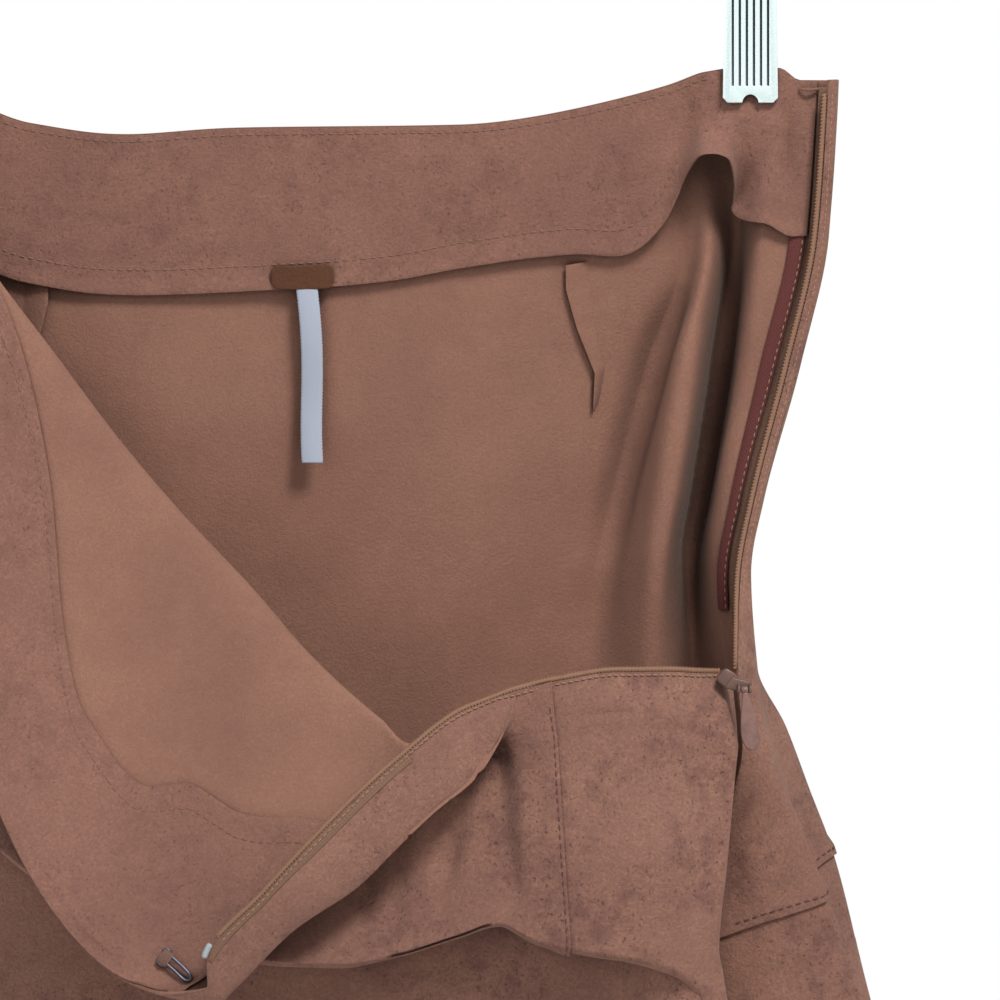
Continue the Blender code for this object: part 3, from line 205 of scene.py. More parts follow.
# Every section gets a point on each guide line. down is the line's place from 0 at the free edge to 1 at
# the hem, and left_z and right_z are its heights at the two side seams.
FrontGuide = namedtuple("FrontGuide", "line down left_z right_z")
FRONT_GUIDES = table(
    FrontGuide,
    ("free", 0, 16, -179), ("roll_mid", 0.05, 13, -183), ("roll_edge", 0.10, 10, -187),
    ("roll_back", 0.15, 6, -191), ("flop_mid", 0.27, -5, -197), ("crest", 0.39, -16, -204),
    ("crest_back", 0.44, -30, -210), ("bulge", 0.56, -90, -222), ("lip", 0.68, -126, -236),
    ("lip_under", 0.71, -131, -240), ("recess", 0.74, -135, -245), ("upper_seam_low", 0.78, -145, -251),
    ("lower_seam", 0.89, -243, -275), ("hem", 1.0, -360, -370),
)

# The left side seam, where the front's edge lies just before the back's.
SeamPoint = namedtuple("SeamPoint", "z x y")
LEFT_SEAM = table(
    SeamPoint,
    (16, -166, -3.8), (-36, -171, -3.8), (-80, -176.2, -0.85), (-360, -209, -0.85),
)

# At the right side seam the two edges part to leave room for each other's thickness.
BACK_SEAM_STEP = (0.9, 0, 0)
FRONT_SEAM_STEP = (-1.8, -0.4, 0)

# The rolled fold beyond the zip's coil, where the cloth's outside turns to the front.
RollPoint = namedtuple("RollPoint", "across point")
ROLL_EDGE = table(
    RollPoint,
    (0.61, (-41.3, -75.5, -281)), (0.635, (-26, -79, -283)), (0.65, (-21.5, -80, -279)),
    (0.70, (-1, -81, -258.5)), (0.75, (18.5, -77, -245.5)), (0.79, (31, -74, -233.5)),
    (0.825, (43, -70, -222.3)), (0.86, (59.5, -64, -208.5)), (0.873, (64.5, -60, -199.5)),
)

# How a section runs between its table's points. Where the open edge isn't rolled, its first lines lie
# this far from it, and in the narrow strip above the slider they share out the way to the crest.
ROLL_STEPS = (2.0, 4.4, 7.2)
NARROW_SHARES = (0.2, 0.4, 0.6, 0.8)
BEHIND_CREST = (1, 6, -7)
FULL_TUCK = 12.0  # a tuck of this depth or more folds right back

# How far the cloth between crest and lip hangs back, which is less where the rolled fold ends.
BellyStep = namedtuple("BellyStep", "across step")
BELLY = table(
    BellyStep,
    (0.79, 6), (0.86, 2.5), (0.873, -1), (0.885, -4),
)

# The front's lapped seams. The upper one turns up beside the right end of the yoke.
UPPER_SEAM_DOWN = 0.76
LOWER_SEAM_DOWN = 0.89
UPPER_SEAM_ACROSS = 0.905

# The front facing, from the waist's free edge down to its lower edge, across the front. Past the corner
# it starts behind the rolled fold.
FacingEnds = namedtuple("FacingEnds", "across start end")
FRONT_FACING = table(
    FacingEnds,
    (0, 0.004, 0.43), (0.05, 0.004, 0.42), (0.13, 0.004, 0.40), (0.25, 0.004, 0.37), (0.38, 0.004, 0.32),
    (0.50, 0.004, 0.25), (0.58, 0.008, 0.25), (0.60, 0.03, 0.25), (0.61, 0.095, 0.25), (0.62, 0.13, 0.249),
    (0.635, 0.16, 0.247), (0.68, 0.185, 0.232), (0.70, 0.19, 0.224), (0.725, 0.195, 0.212),
    (0.74, 0.195, 0.20),
)

# Where each guide line lies across the back, from the left side seam to the zip.
BACK_ALONG = (
    0, 0.075, 0.19, 0.29, 0.38, 0.50, 0.62, 0.68, 0.74, 0.79, 0.815, 0.835, 0.85, 0.87, 0.90, 0.935, 0.97, 1,
)

# The seam binding and the zip's tape beside the back's right outline, as distances in from it.
BINDING_OFFSET = 12.5
BINDING_WIDTH = 5.5
TAPE_END_OFFSET = 2.5
BINDING_ALONG = (0.815, 0.824, 0.833)
BINDING_DROPS = (53.0, 176.7)
BACK_TAPE_ALONG = (0.8375, 0.85, 0.868)
FRONT_TAPE_DOWN = (0.003, 0.047)

# The zip's coil: half widths across, and along the cloth's thickness.
COIL_RADII = (1.1, 0.9)

# The slider at the foot of the zip, and the tab's hinge line through its ears.
SLIDER_CENTRE = np.array((139.8, -36.6, -180.6))
SLIDER_ALONG = np.array((0.82, 0, -0.57))
SLIDER_ACROSS = np.array((0.57, 0, 0.82))
SLIDER_THICKNESS = 3.6
SLIDER_PLATE = 1.3
PIVOT = np.array((144.6, -41.0, -183.6))
SLIDER_OUTLINE = (
    (-4.2, 1.6), (-3.2, 3.1), (0, 3.3), (3.6, 2.4), (4.2, 0), (3.6, -2.4), (0, -3.3), (-3.2, -3.1),
    (-4.2, -1.6),
)
EARS = (-1.9, 1.9)
EAR_HALF = 0.5
# Outlines from the hinge line: the ears' in y and z, and the bridge's in x and z.
EAR_OUTLINE = ((-1.0, -1.0), (4.2, -1.4), (4.2, 2.6), (-0.4, 1.2))
BRIDGE_OUTLINE = ((-6.5, 0.4), (2.3, -1.3), (2.3, 2.3), (-4, 4))
BRIDGE_DEPTHS = (2.2, 4.2)
TAB_THICKNESS = 1.4
TAB_LEAN = 0.12  # to the right for each millimetre down

# The pull tab's drop shape.
TabWidth = namedtuple("TabWidth", "drop half")
TAB_WIDTHS = table(
    TabWidth,
    (0.8, 0.9), (2.5, 1.2), (6, 1.9), (11, 2.7), (15, 3.0), (18, 2.4), (19.6, 1.2), (20, 0.3),
)

# The bare label loop at centre back, and the ribbon that hangs from it.
LOOP_X = (-11.8, 9.2)
LOOP_DROPS = (45.5, 53.5)
LOOP_ALONG = 0.38  # where it lies across the back
RIBBON_WIDTH = 6.8
RIBBON_END_Z = -109.3
RIBBON_DRIFT = 2.7

# The waist hook's wire, as steps ahead, out and aside from where it is sewn, and the thread eye, a low
# arch. Their places are across and down their sheets.
HOOK_PLACE = (np.array([0.6155]), np.array([0.1485]))
HOOK_STAND = 1.1
HOOK_AHEAD = np.array((0.84, 0, -0.54))
HOOK_ASIDE = np.array((0.54, 0, 0.84))
HOOK_ROUTE = (
    (-5, 0, 1.6), (0, -0.6, 0.8), (3.4, -1.2, 0), (4.6, -1.2, -1.2), (3.0, -1.2, -2.4), (-1, -0.6, -1.8),
    (-5, 0, -1.2),
)
HOOK_WIRE = 0.55
EYE_PLACE = (np.array([0.826]), np.array([0.008]))
EYE_SPAN = 7.0
EYE_RISE = 1.6
EYE_WIRE = 0.5


# ---------------------------------------------------------------- the shape's functions, as in the part

def placed(points):
    """World metres of points given in the skirt's millimetres."""
    return (np.asarray(points, float) - (0, 0, HOOK_TO_WAIST)) * MM


def hermite(knots, values, at, guarded=False):
    """A smooth curve through values at the knots, read at the given places. It works on the first axis.

    A guarded curve never swings past the values at its knots.
    """
    knots = np.asarray(knots, float)
    values = np.asarray(values, float)
    at = np.atleast_1d(np.asarray(at, float))
    wide = (-1,) + (1,) * (values.ndim - 1)
    step = np.diff(knots).reshape(wide)
    slope = np.diff(values, axis=0) / step
    tangent = np.empty_like(values)
    tangent[0], tangent[-1] = slope[0], slope[-1]
    before, after = step[:-1], step[1:]
    tangent[1:-1] = (after * slope[:-1] + before * slope[1:]) / (before + after)
    if guarded:
        same = slope[:-1] * slope[1:] > 0
        safe = np.where(same, slope[:-1] + slope[1:], 1.0)
        tangent[1:-1] = np.where(same, 2 * slope[:-1] * slope[1:] / safe, 0)
    i = np.clip(np.searchsorted(knots, at, side="right") - 1, 0, len(knots) - 2)
    s = ((at - knots[i]) / np.diff(knots)[i]).reshape(wide)
    h = step[i]
    return (
        (2 * s**3 - 3 * s**2 + 1) * values[i] + (s**3 - 2 * s**2 + s) * h * tangent[i]
        + (3 * s**2 - 2 * s**3) * values[i + 1] + (s**3 - s**2) * h * tangent[i + 1]
    )


def between(start, end, share):
    return np.asarray(start, float) + (np.asarray(end, float) - np.asarray(start, float)) * share


def samples(knots, counts):
    """Places along the knots, with the given number of steps in each interval."""
    found = [knots[0]]
    for low, high, count in zip(knots, knots[1:], counts):
        found.extend(low + (high - low) * (k + 1) / count for k in range(count))
    return np.array(found)


def within(places, low, high):
    """The places from low to high, with both ends."""
    inside = places[(places > low + 1e-6) & (places < high - 1e-6)]
    return np.concatenate([[low], inside, [high]])


class Cloth:
    """A smooth sheet through guide lines: lines[i, j] is the point on line j at section i."""

    def __init__(self, across, down, lines):
        self.across, self.down, self.lines = across, down, np.asarray(lines, float)

    def at(self, across, down):
        sections = hermite(self.across, self.lines, across, guarded=True)
        return hermite(self.down, sections.transpose(1, 0, 2), down, guarded=True).transpose(1, 0, 2)

    def normals(self, across, down):
        """Unit normals. They face the inside of the skirt on the front, and its outside on the back."""
        small = 1e-4
        ends = np.clip([across - small, across + small], 0, 1)
        rows = np.clip([down - small, down + small], 0, 1)
        du = self.at(ends[1], down) - self.at(ends[0], down)
        dv = self.at(across, rows[1]) - self.at(across, rows[0])
        n = np.cross(du, dv)
        return n / np.linalg.norm(n, axis=2, keepdims=True)

    def layer(self, across, down, shift=0.0):
        """The sheet's points, moved out along its normals."""
        return self.at(across, down) + self.normals(across, down) * shift


def snapped(rows, low, high):
    """Rows that start at low and end at high, with the nearest rows moved there and the rest collapsed."""
    rows = np.clip(rows, low, high)
    first, last = abs(rows - low).argmin(), abs(rows - high).argmin()
    rows[:first + 1] = low
    rows[last:] = high
    return rows


def lying(cloth, columns, spans, rows, lift):
    """A layer off the sheet by its lift, on the sheet's own grid, between each column's ends."""
    grid, middle, normals = [], [], []
    for column, (low, high) in zip(columns, spans):
        at = np.array([column])
        places = snapped(rows, low, high)
        grid.append(places)
        normals.append(cloth.normals(at, places)[0])
        middle.append(cloth.at(at, places)[0] + normals[-1] * lift)
    height = np.diff(np.array(grid), axis=1)
    keep = (height[:-1] > 0) | (height[1:] > 0)
    return np.array(middle), np.array(normals), keep


def waist_z(x):
    xs, zs = zip(*WAIST_LINE)
    return float(np.interp(x, xs, zs))


def back_cloth():
    """The back's sheet: across from the left side seam to the zip, and down from the waist to the hem."""
    lines = []
    tops = None
    for level, fold, edge in zip(BACK_LEVELS, BACK_FOLDS, BACK_EDGE):
        folds = [fold.valley_1, fold.ridge_2, fold.valley_2, fold.ridge_3]
        flat = [between(level.left_x, fold.valley_1[0], line.share) for line in FLAT_LINES]
        loose = np.clip((level.drop - GRIP_DROP) / GRIP_EASE, 0, 1)
        depth = [level.left_y] + [level.middle_y * line.depth for line in FLAT_LINES[1:]]
        depth[1] = between(GRIPPED_Y, depth[1], loose)
        if tops is None:
            tops = [waist_z(x) for x in flat + [f[0] for f in folds]]
        row = [(x, y, top - level.drop) for x, y, top in zip(flat, depth, tops)]
        row += [(x, y, top - level.drop) for (x, y), top in zip(folds, tops[len(flat):])]
        outline, ridge, end = (np.array(p, float) for p in edge[1:])
        for offset in (BINDING_OFFSET, BINDING_OFFSET - BINDING_WIDTH, TAPE_END_OFFSET):
            share = 1 - offset / BINDING_OFFSET
            x = max(outline[0] - offset, between(folds[-1][0], outline[0], 0.2 + 0.65 * share))
            y = between(folds[-1][1], outline[1] + 1.4, 0.35 + 0.6 * share)
            row.append((x, y, outline[2]))
        wrap = np.clip((level.drop - ZIP_DROP) / (TIER_DROP - ZIP_DROP), 0, 1)
        row.append(outline)
        row.append(between(outline, ridge, 0.5) - (7 * wrap, 0, 0))
        row.append(ridge)
        row.append(between(ridge, end, 0.5) - (0, 4 * wrap, 0))
        row.append(end + BACK_SEAM_STEP if level.drop > ZIP_DROP else end)
        lines.append(row)
    down = [level.drop / HEM_DROP for level in BACK_LEVELS]
    return Cloth(np.array(BACK_ALONG), np.array(down), np.array(lines, float).transpose(1, 0, 2))


def facing_lift(along):
    places, lifts = zip(*((p.along, p.lift) for p in FACING_EDGE))
    return np.interp(along, places, lifts)


def locate(cloth, xs, drop):
    """Places across the sheet where it reaches each x at one drop, and that place down."""
    along = np.linspace(0, 0.79, 400)
    down = np.array([drop / HEM_DROP])
    reach = cloth.at(along, down)[:, 0, 0]
    return np.interp(xs, reach, along), down


def side_seam_points(cloth, heights):
    """Points on the back's edge at the given heights, where the front meets it."""
    drops = np.linspace(ZIP_DROP, HEM_DROP, 200) / HEM_DROP
    edge = cloth.at(np.array([1.0]), drops)[0]
    return np.stack([np.interp(heights, edge[::-1, 2], edge[::-1, axis]) for axis in range(3)], axis=1)


def front_section(section):
    """The points of one section of the front, one for each guide line."""
    free, crest, lip, hem = (np.array(p, float) for p in section[1:4] + section[5:])
    first, last = ROLL_EDGE[0].across, ROLL_EDGE[-1].across
    narrow = float(section.across > last)
    drop = np.linalg.norm(crest - free)
    folded = 0.0 if narrow else np.clip((-crest[1] - 6) / 10, 0, 1)
    if first <= section.across <= last:
        roll = np.array(dict(ROLL_EDGE)[section.across], float)
        rise = np.linalg.norm(crest - roll)
        mid = between(free, roll, 0.5) - (0, min(2.2, np.linalg.norm(roll - free) * 0.15), 0)
        back = between(roll, crest, min(9 / rise, 0.36)) + (0, np.interp(rise, (8, 25), (0, 1.5)), 0)
        flop = between(roll, crest, np.interp(rise, (10, 60, 130), (0.7, 0.6, 0.55)))
        flop += (0, np.interp(rise, (8, 70), (0, 3.5)), 0)
    elif narrow:
        mid, roll, back, flop = (between(free, crest, s) for s in NARROW_SHARES)
    else:
        mid, roll, back = (between(free, crest, s / drop) for s in ROLL_STEPS)
        flop = between(free, crest, 0.5) + (0, min(3.5, drop / 20) * folded, 0)
    behind = between(between(crest, lip, 0.1), crest + BEHIND_CREST, folded)
    places, steps = zip(*BELLY)
    belly = np.interp(section.across, places, steps) * (folded + narrow)
    bulge = between(behind, lip, 0.55) + (0, belly, 0)
    fold = np.clip(section.tuck / FULL_TUCK, 0, 1)
    deep = section.tuck
    under = between(between(lip, hem, 0.05), lip + (0, deep * 0.45, -1.5), fold)
    recess = between(between(lip, hem, 0.09), lip + (0, deep * 0.9, deep / 8), fold)
    low = between(between(lip, hem, 0.14), lip + (0, deep, -9), fold)
    seam = between(low, hem, 0.46) + (0, 2, 0)
    return [free, mid, roll, back, flop, crest, behind, bulge, lip, under, recess, low, seam, hem]


def front_cloth(back):
    """The front's sheet: across from the left side seam to the slider, and down from its open edge."""
    heights, xs, ys = zip(*reversed(LEFT_SEAM))
    left = [[np.interp(g.left_z, heights, values) for values in (xs, ys)] + [g.left_z] for g in FRONT_GUIDES]
    right = side_seam_points(back, [g.right_z for g in FRONT_GUIDES]) + FRONT_SEAM_STEP
    sections = [left] + [front_section(s) for s in FRONT_SECTIONS] + [right]
    across = [0.0] + [s.across for s in FRONT_SECTIONS] + [1.0]
    down = [g.down for g in FRONT_GUIDES]
    return Cloth(np.array(across), np.array(down), np.array(sections, float))


def coil_route(cloth, columns):
    """The zip's coil runs just outside the cloth's free edge."""
    ends = cloth.at(columns, np.array([0.0, 0.03]))
    outward = ends[:, 0] - ends[:, 1]
    outward /= np.linalg.norm(outward, axis=1, keepdims=True)
    return ends[:, 0] + outward * (COIL_RADII[0] + SEAM_GAP)


# ---------------------------------------------------------------- finer sizes, for the looks

CELL = 2.0  # the fine cloth's grid
EDGE_ROUND = 0.38  # how far a cut or folded edge is rounded
LAP = 3.0  # how far a lower tier runs up under the one above
LAP_RAISE = 1.04
LAP_SLOPE = 4.0
# How far in from its edge a row of stitches runs: at a lap, the hem, the facings' lower edges and the waist.
SEAM_STITCH_IN = 2.2
HEM_STITCH_IN = 18.0
FACING_STITCH_IN = 8.2
FRONT_FACING_STITCH_IN = 8.5
SHORTEST_SEWN = 12.0  # a column of the front facing shorter than this has no stitch
WAIST_STITCH_IN = 2.6
STITCH_LENGTH = 2.1
STITCH_PITCH = 3.0
STITCH_RADIUS = 0.27
# The pitch, length and radius of the smaller stitches.
BINDING_STITCH = (2.6, 1.6, 0.2)
ZIP_BACK_STITCH = (2.2, 1.4, 0.2)
ZIP_FRONT_STITCH = (2.2, 1.5, 0.22)
FRONT_HEM_DOWN = 0.964  # the place of the front hem's stitches
# Where the front half of the zip lies: its tape, the strip of it that shows outside, the coil and the stop.
FRONT_TAPE_ALONG = (0.655, 0.975)
EDGING_ALONG = (0.655, 0.83)
EDGING_DOWN = (0.002, 0.016)
FRONT_COIL_ALONG = (0.668, 0.985)
TOP_STOP_ALONG = (0.653, 0.663)
TOOTH_PITCH = 1.15
TOOTH_LENGTH = 2.3
TOOTH_RADIUS = 0.42
TOOTH_LEAN = 0.28
COIL_CORE = (0.75, 0.6)
TAPE_LIFT = WALL / 2 + 0.15 + TRIM_WALL / 2  # the tapes and the binding lie this far off the cloth's middle

# Extra rows and columns of the fine grid lie this far from each lapped edge, where it is raised: on the
# back in millimetres, and on the front as places down and across.
BACK_EDGE_STEPS = (0.4, 1.4, 3.0, 5.0)
FRONT_EDGE_STEPS_DOWN = (0.001, 0.004, 0.009)
FRONT_EDGE_STEPS_ACROSS = (0.0008, 0.0035, 0.008)
FACING_REACH = (0.4, 60.0)  # how far down from the waist the back facing's grid starts and ends
FACING_ROWS = 34

# Creases that the cloth has over its main form. route is a list of places (across, down) on the sheet,
# width is the crease's half width and depth is how far it rises, or falls where it is negative.
Crease = namedtuple("Crease", "route width depth")
FRONT_CREASES = table(
    Crease,
    (((0.868, 0.02), (0.862, 0.05), (0.858, 0.09)), 4, -1.4),
    (((0.890, 0.22), (0.893, 0.36), (0.896, 0.47)), 4.5, 1.8),
    (((0.852, 0.50), (0.835, 0.56), (0.820, 0.61)), 3.2, -2.4),
    (((0.835, 0.47), (0.815, 0.53), (0.800, 0.57)), 3.5, 1.4),
    (((0.80, 0.56), (0.79, 0.60), (0.785, 0.65)), 3.5, -1.6),
    (((0.735, 0.55), (0.742, 0.61), (0.748, 0.66)), 8, 2.2),
    (((0.765, 0.56), (0.768, 0.60), (0.765, 0.66)), 4, -2.0),
    (((0.70, 0.56), (0.69, 0.61), (0.68, 0.66)), 6, -1.8),
    (((0.93, 0.40), (0.945, 0.52), (0.95, 0.62)), 9, 1.3),
    (((0.965, 0.30), (0.968, 0.45), (0.962, 0.60)), 5, -1.2),
    (((0.62, 0.42), (0.58, 0.47), (0.52, 0.52)), 9, -1.6),
    (((0.30, 0.44), (0.36, 0.60), (0.42, 0.72)), 11, -1.8),
    (((0.20, 0.50), (0.26, 0.66), (0.33, 0.82)), 13, 1.6),
    (((0.44, 0.30), (0.50, 0.33), (0.56, 0.31)), 9, 1.2),
    (((0.16, 0.84), (0.18, 0.92), (0.19, 1.0)), 11, -2.2),
    (((0.44, 0.84), (0.46, 0.92), (0.46, 1.0)), 12, 2.2),
    (((0.63, 0.86), (0.62, 0.93), (0.63, 1.0)), 10, -2.0),
    (((0.80, 0.84), (0.81, 0.92), (0.80, 1.0)), 10, 1.8),
)
BACK_CREASES = table(
    Crease,
    (((0.672, 0.0), (0.648, 0.035), (0.626, 0.072)), 8, 3.0),
    (((0.802, 0.020), (0.805, 0.06), (0.806, 0.10)), 3.2, 3.2),
    (((0.948, 0.585), (0.942, 0.64), (0.942, 0.72), (0.944, 0.84), (0.944, 1.0)), 3.0, 1.0),
    (((0.936, 0.585), (0.927, 0.62), (0.926, 0.70), (0.926, 0.82), (0.926, 1.0)), 2.6, -1.8),
    (((0.962, 0.694), (0.953, 0.712), (0.944, 0.726)), 2.4, -1.4),
    (((0.999, 0.626), (0.986, 0.617), (0.972, 0.606)), 2.6, -1.6),
    (((0.975, 0.640), (0.970, 0.66), (0.972, 0.68)), 6, 1.4),
    (((0.50, 0.20), (0.52, 0.30), (0.55, 0.42)), 12, -1.4),
    (((0.30, 0.16), (0.33, 0.26), (0.37, 0.40)), 16, -1.2),
    (((0.12, 0.20), (0.16, 0.45), (0.19, 0.66)), 14, 1.6),
    (((0.22, 0.72), (0.23, 0.86), (0.24, 1.0)), 12, -2.4),
    (((0.42, 0.70), (0.43, 0.84), (0.43, 1.0)), 13, 2.4),
    (((0.56, 0.50), (0.57, 0.70), (0.57, 0.90)), 12, -1.8),
    (((0.636, 0.18), (0.632, 0.28), (0.622, 0.52)), 7, 4.5),
    (((0.690, 0.22), (0.688, 0.32), (0.68, 0.50)), 7, -1.6),
    (((0.740, 0.16), (0.744, 0.27), (0.74, 0.52)), 5.5, 4.0),
    (((0.775, 0.19), (0.778, 0.32), (0.775, 0.44)), 4, -1.2),
)
# The hollow behind the facing's arch, which the facing itself doesn't follow: its middle and its reach
# across, up and down the back, and its depth.
HOLLOW_PLACE = (0.690, 0.085)
HOLLOW_REACH = (0.050, 0.040, 0.085)
HOLLOW_DEPTH = 9.0

UNEVEN = 0.45  # the height of the slow waves all over a sheet
FIXED_EDGE = (0.05, 0.14)  # they fade out this near a sheet's edges, across and down, where it is sewn
CREASE_REACH = (0.07, 0.25)  # a crease reaches no further than this, across and down


# ---------------------------------------------------------------- materials

# Painted shade: the tint that ambient occlusion multiplies into the suede's colours in closed hollows.
PAINTED_SHADE_TINT = (0.16, 0.1488, 0.1488)  # what a closed hollow leaves of each colour


class Finish:
    """A material's nodes, with textures on the object's own coordinates."""

    def __init__(self, name):
        self.material = bpy.data.materials.new(name)
        self.material.use_nodes = True
        self.tree = self.material.node_tree
        self.place = self.node("TexCoord", {}).outputs["Object"]

    def put(self, sockets, values):
        """Links or sets each named socket."""
        for name, value in values.items():
            if isinstance(value, bpy.types.NodeSocket):
                self.tree.links.new(value, sockets[name])
            elif sockets[name].type == "RGBA":
                sockets[name].default_value = (*value, 1)
            else:
                sockets[name].default_value = value

    def node(self, kind, values, **settings):
        made = self.tree.nodes.new("ShaderNode" + kind)
        for setting, value in settings.items():
            setattr(made, setting, value)
        self.put(made.inputs, values)
        return made

    def shader(self, values):
        """Sets the surface, and gives the finished material."""
        self.put(self.tree.nodes["Principled BSDF"].inputs, values)
        return self.material

    def noise(self, scale, detail=4.0, roughness=0.6, stretch=None):
        """Noise in features per metre."""
        place = self.place
        if stretch:
            place = self.node("Mapping", {"Vector": place, "Scale": stretch}).outputs["Vector"]
        values = {"Vector": place, "Scale": scale, "Detail": detail, "Roughness": roughness}
        return self.node("TexNoise", values).outputs["Fac"]

    def ramp(self, value, low, high):
        """0 below low and 1 above high, with a smooth step between them."""
        values = {"Value": value, "From Min": low, "From Max": high}
        return self.node("MapRange", values, interpolation_type="SMOOTHSTEP").outputs["Result"]

    def maths(self, operation, *values):
        return self.node("Math", dict(enumerate(values)), operation=operation).outputs["Value"]

    def mixed(self, share, first, second, blend="MIX"):
        values = {"Factor": share, "A": first, "B": second}
        return self.node("Mix", values, data_type="RGBA", blend_type=blend).outputs["Result"]

    def bumped(self, height, distance, normal=None):
        values = {"Height": height, "Distance": distance * MM, "Strength": 1.0}
        if normal:
            values["Normal"] = normal
        return self.node("Bump", values).outputs["Normal"]

    def with_painted_shade(self, colour, reach):
        """The colour with painted shade from ambient occlusion: darker in each hollow and under laps within
        the given reach.
        """
        hollow = self.node("AmbientOcclusion", {"Distance": reach * MM}, samples=4)
        darker = self.mixed(1.0, colour, PAINTED_SHADE_TINT, "MULTIPLY")
        return self.mixed(self.ramp(hollow.outputs["AO"], 0.12, 0.80), darker, colour)


def suede(name, light, dark, mottle, specks, painted_shade_reach=16):
    """Napped cloth: clouds of two browns, mottles, worn specks, a grain and a fine nap, with painted shade in
    each hollow.

    Each lays a share of the dark brown, dimmed, over what lies below it.
    """
    finish = Finish(name)
    clouds = finish.ramp(finish.noise(20), 0.34, 0.68)
    patches = finish.ramp(finish.noise(150, 8, 0.70), 0.42, 0.64)
    zones = finish.ramp(finish.noise(32, 2), 0.34, 0.62)
    fine = finish.noise(1300, 3, 0.7)
    grain = finish.ramp(finish.noise(900, 4, 0.75), 0.38, 0.64)
    worn = finish.ramp(finish.noise(950, 3, 0.6, (1, 1, 0.8)), 0.58, 0.70)
    colour = light
    for pattern, strength, dimmed in (
        (clouds, 0.4, 1), (finish.maths("MULTIPLY", patches, zones), mottle, 1),
        (finish.maths("MULTIPLY", worn, zones), specks, 0.5), (grain, 0.10 + 0.36 * mottle, 0.85),
        (finish.ramp(fine, 0.3, 0.7), 0.25, 0.8),
    ):
        share = finish.maths("MULTIPLY", pattern, strength)
        colour = finish.mixed(share, colour, tuple(c * dimmed for c in dark))
    normal = None
    for pattern, height in ((fine, 0.16), (grain, 0.07 + 0.08 * mottle), (patches, 0.10 * mottle),
                            (worn, 0.14 * specks)):
        normal = finish.bumped(pattern, height, normal)
    return finish.shader({
        "Base Color": finish.with_painted_shade(colour, painted_shade_reach), "Normal": normal, "Roughness": 0.93,
        "Specular IOR Level": 0.18, "Sheen Weight": 0.16, "Sheen Roughness": 0.45,
        "Sheen Tint": (0.92, 0.72, 0.62),
    })


def woven(name, colour, other, pitch, roughness=0.75, sheen=0.1):
    """A fine weave: crossing ribs a pitch apart."""
    finish = Finish(name)
    ribs = []
    for stretch in ((1, 0.01, 1), (1, 0.01, -1)):
        place = finish.node("Mapping", {"Vector": finish.place, "Scale": stretch}).outputs["Vector"]
        values = {"Vector": place, "Scale": 0.32 / (pitch * MM), "Distortion": 0.4}
        ribs.append(finish.node("TexWave", values, bands_direction="DIAGONAL").outputs["Fac"])
    fibre = finish.noise(1500, 3, 0.7)
    share = finish.maths("MULTIPLY", finish.maths("ADD", finish.maths("MAXIMUM", *ribs), fibre), 0.5)
    return finish.shader({
        "Base Color": finish.mixed(share, other, colour), "Normal": finish.bumped(share, 0.18),
        "Roughness": roughness, "Sheen Weight": sheen,
    })


def moulded(name, colour, roughness, metallic=0.0, wear=0.1, grain=0.03):
    """Metal or plastic with faint scratches and uneven gloss."""
    finish = Finish(name)
    smudge = finish.noise(260, 5, 0.65)
    share = finish.maths("MULTIPLY", finish.ramp(smudge, 0.4, 0.7), wear)
    return finish.shader({
        "Base Color": finish.mixed(share, colour, tuple(c * 0.45 for c in colour)),
        "Roughness": finish.maths("MULTIPLY_ADD", smudge, 0.3, roughness - 0.15),
        "Normal": finish.bumped(finish.noise(2200, 2), grain), "Metallic": metallic,
    })


# ---------------------------------------------------------------- meshes

def add_mesh(name, points, faces, finishes, indices=None):
    """A mesh of points in the skirt's millimetres."""
    mesh = bpy.data.meshes.new(name)
    mesh.from_pydata([tuple(p) for p in placed(points)], [], [tuple(int(c) for c in f) for f in faces])
    for finish in finishes:
        mesh.materials.append(finish)
    if indices is not None:
        mesh.polygons.foreach_set("material_index", np.asarray(indices, np.int32))
    mesh.shade_smooth()
    obj = bpy.data.objects.new(name, mesh)
    bpy.context.scene.collection.objects.link(obj)
    return obj


def rounded(obj, width, angle=50):
    """Rounds the edges that turn by more than the angle."""
    if width:
        bevel = obj.modifiers.new("edge", "BEVEL")
        bevel.width = width * MM
        bevel.segments = 2
        bevel.limit_method = "ANGLE"
        bevel.angle_limit = math.radians(angle)
    return obj


def wall(name, middle, normals, thickness, finishes, keep=None, edge=EDGE_ROUND):
    """A closed thin solid around a grid of points: its first finish is on the side of the normals."""
    rows, columns = middle.shape[:2]
    if keep is None:
        keep = np.ones((rows - 1, columns - 1), bool)
    first = np.arange(rows * columns).reshape(rows, columns)[:-1, :-1][keep]
    faces = np.stack([first, first + columns, first + columns + 1, first + 1], axis=1)
    starts = faces.reshape(-1)
    ends = np.roll(faces, -1, axis=1).reshape(-1)
    total = rows * columns
    forward, backward = starts * total + ends, ends * total + starts
    outer = ~np.isin(forward, backward)
    starts, ends = starts[outer], ends[outer]
    sides = np.stack([ends, starts, starts + total, ends + total], axis=1)
    every = np.concatenate([faces, faces[:, ::-1] + total, sides])
    half = normals * thickness / 2
    points = np.concatenate([(middle + half).reshape(-1, 3), (middle - half).reshape(-1, 3)])
    used, renumbered = np.unique(every, return_inverse=True)
    indices = np.zeros(len(every), int)
    if len(finishes) > 1:
        indices[len(faces):] = 1
    obj = add_mesh(name, points[used], renumbered.reshape(every.shape), finishes, indices)
    return rounded(tidied(obj), edge)


def tidied(obj, reach=0.02):
    """Joins points that meet, drops what that leaves empty and turns the faces out."""
    shape = bmesh.new()
    shape.from_mesh(obj.data)
    bmesh.ops.remove_doubles(shape, verts=shape.verts, dist=reach * MM)
    bmesh.ops.recalc_face_normals(shape, faces=shape.faces)
    shape.to_mesh(obj.data)
    shape.free()
    return obj


def unit(vectors):
    return vectors / np.linalg.norm(vectors, axis=-1, keepdims=True)


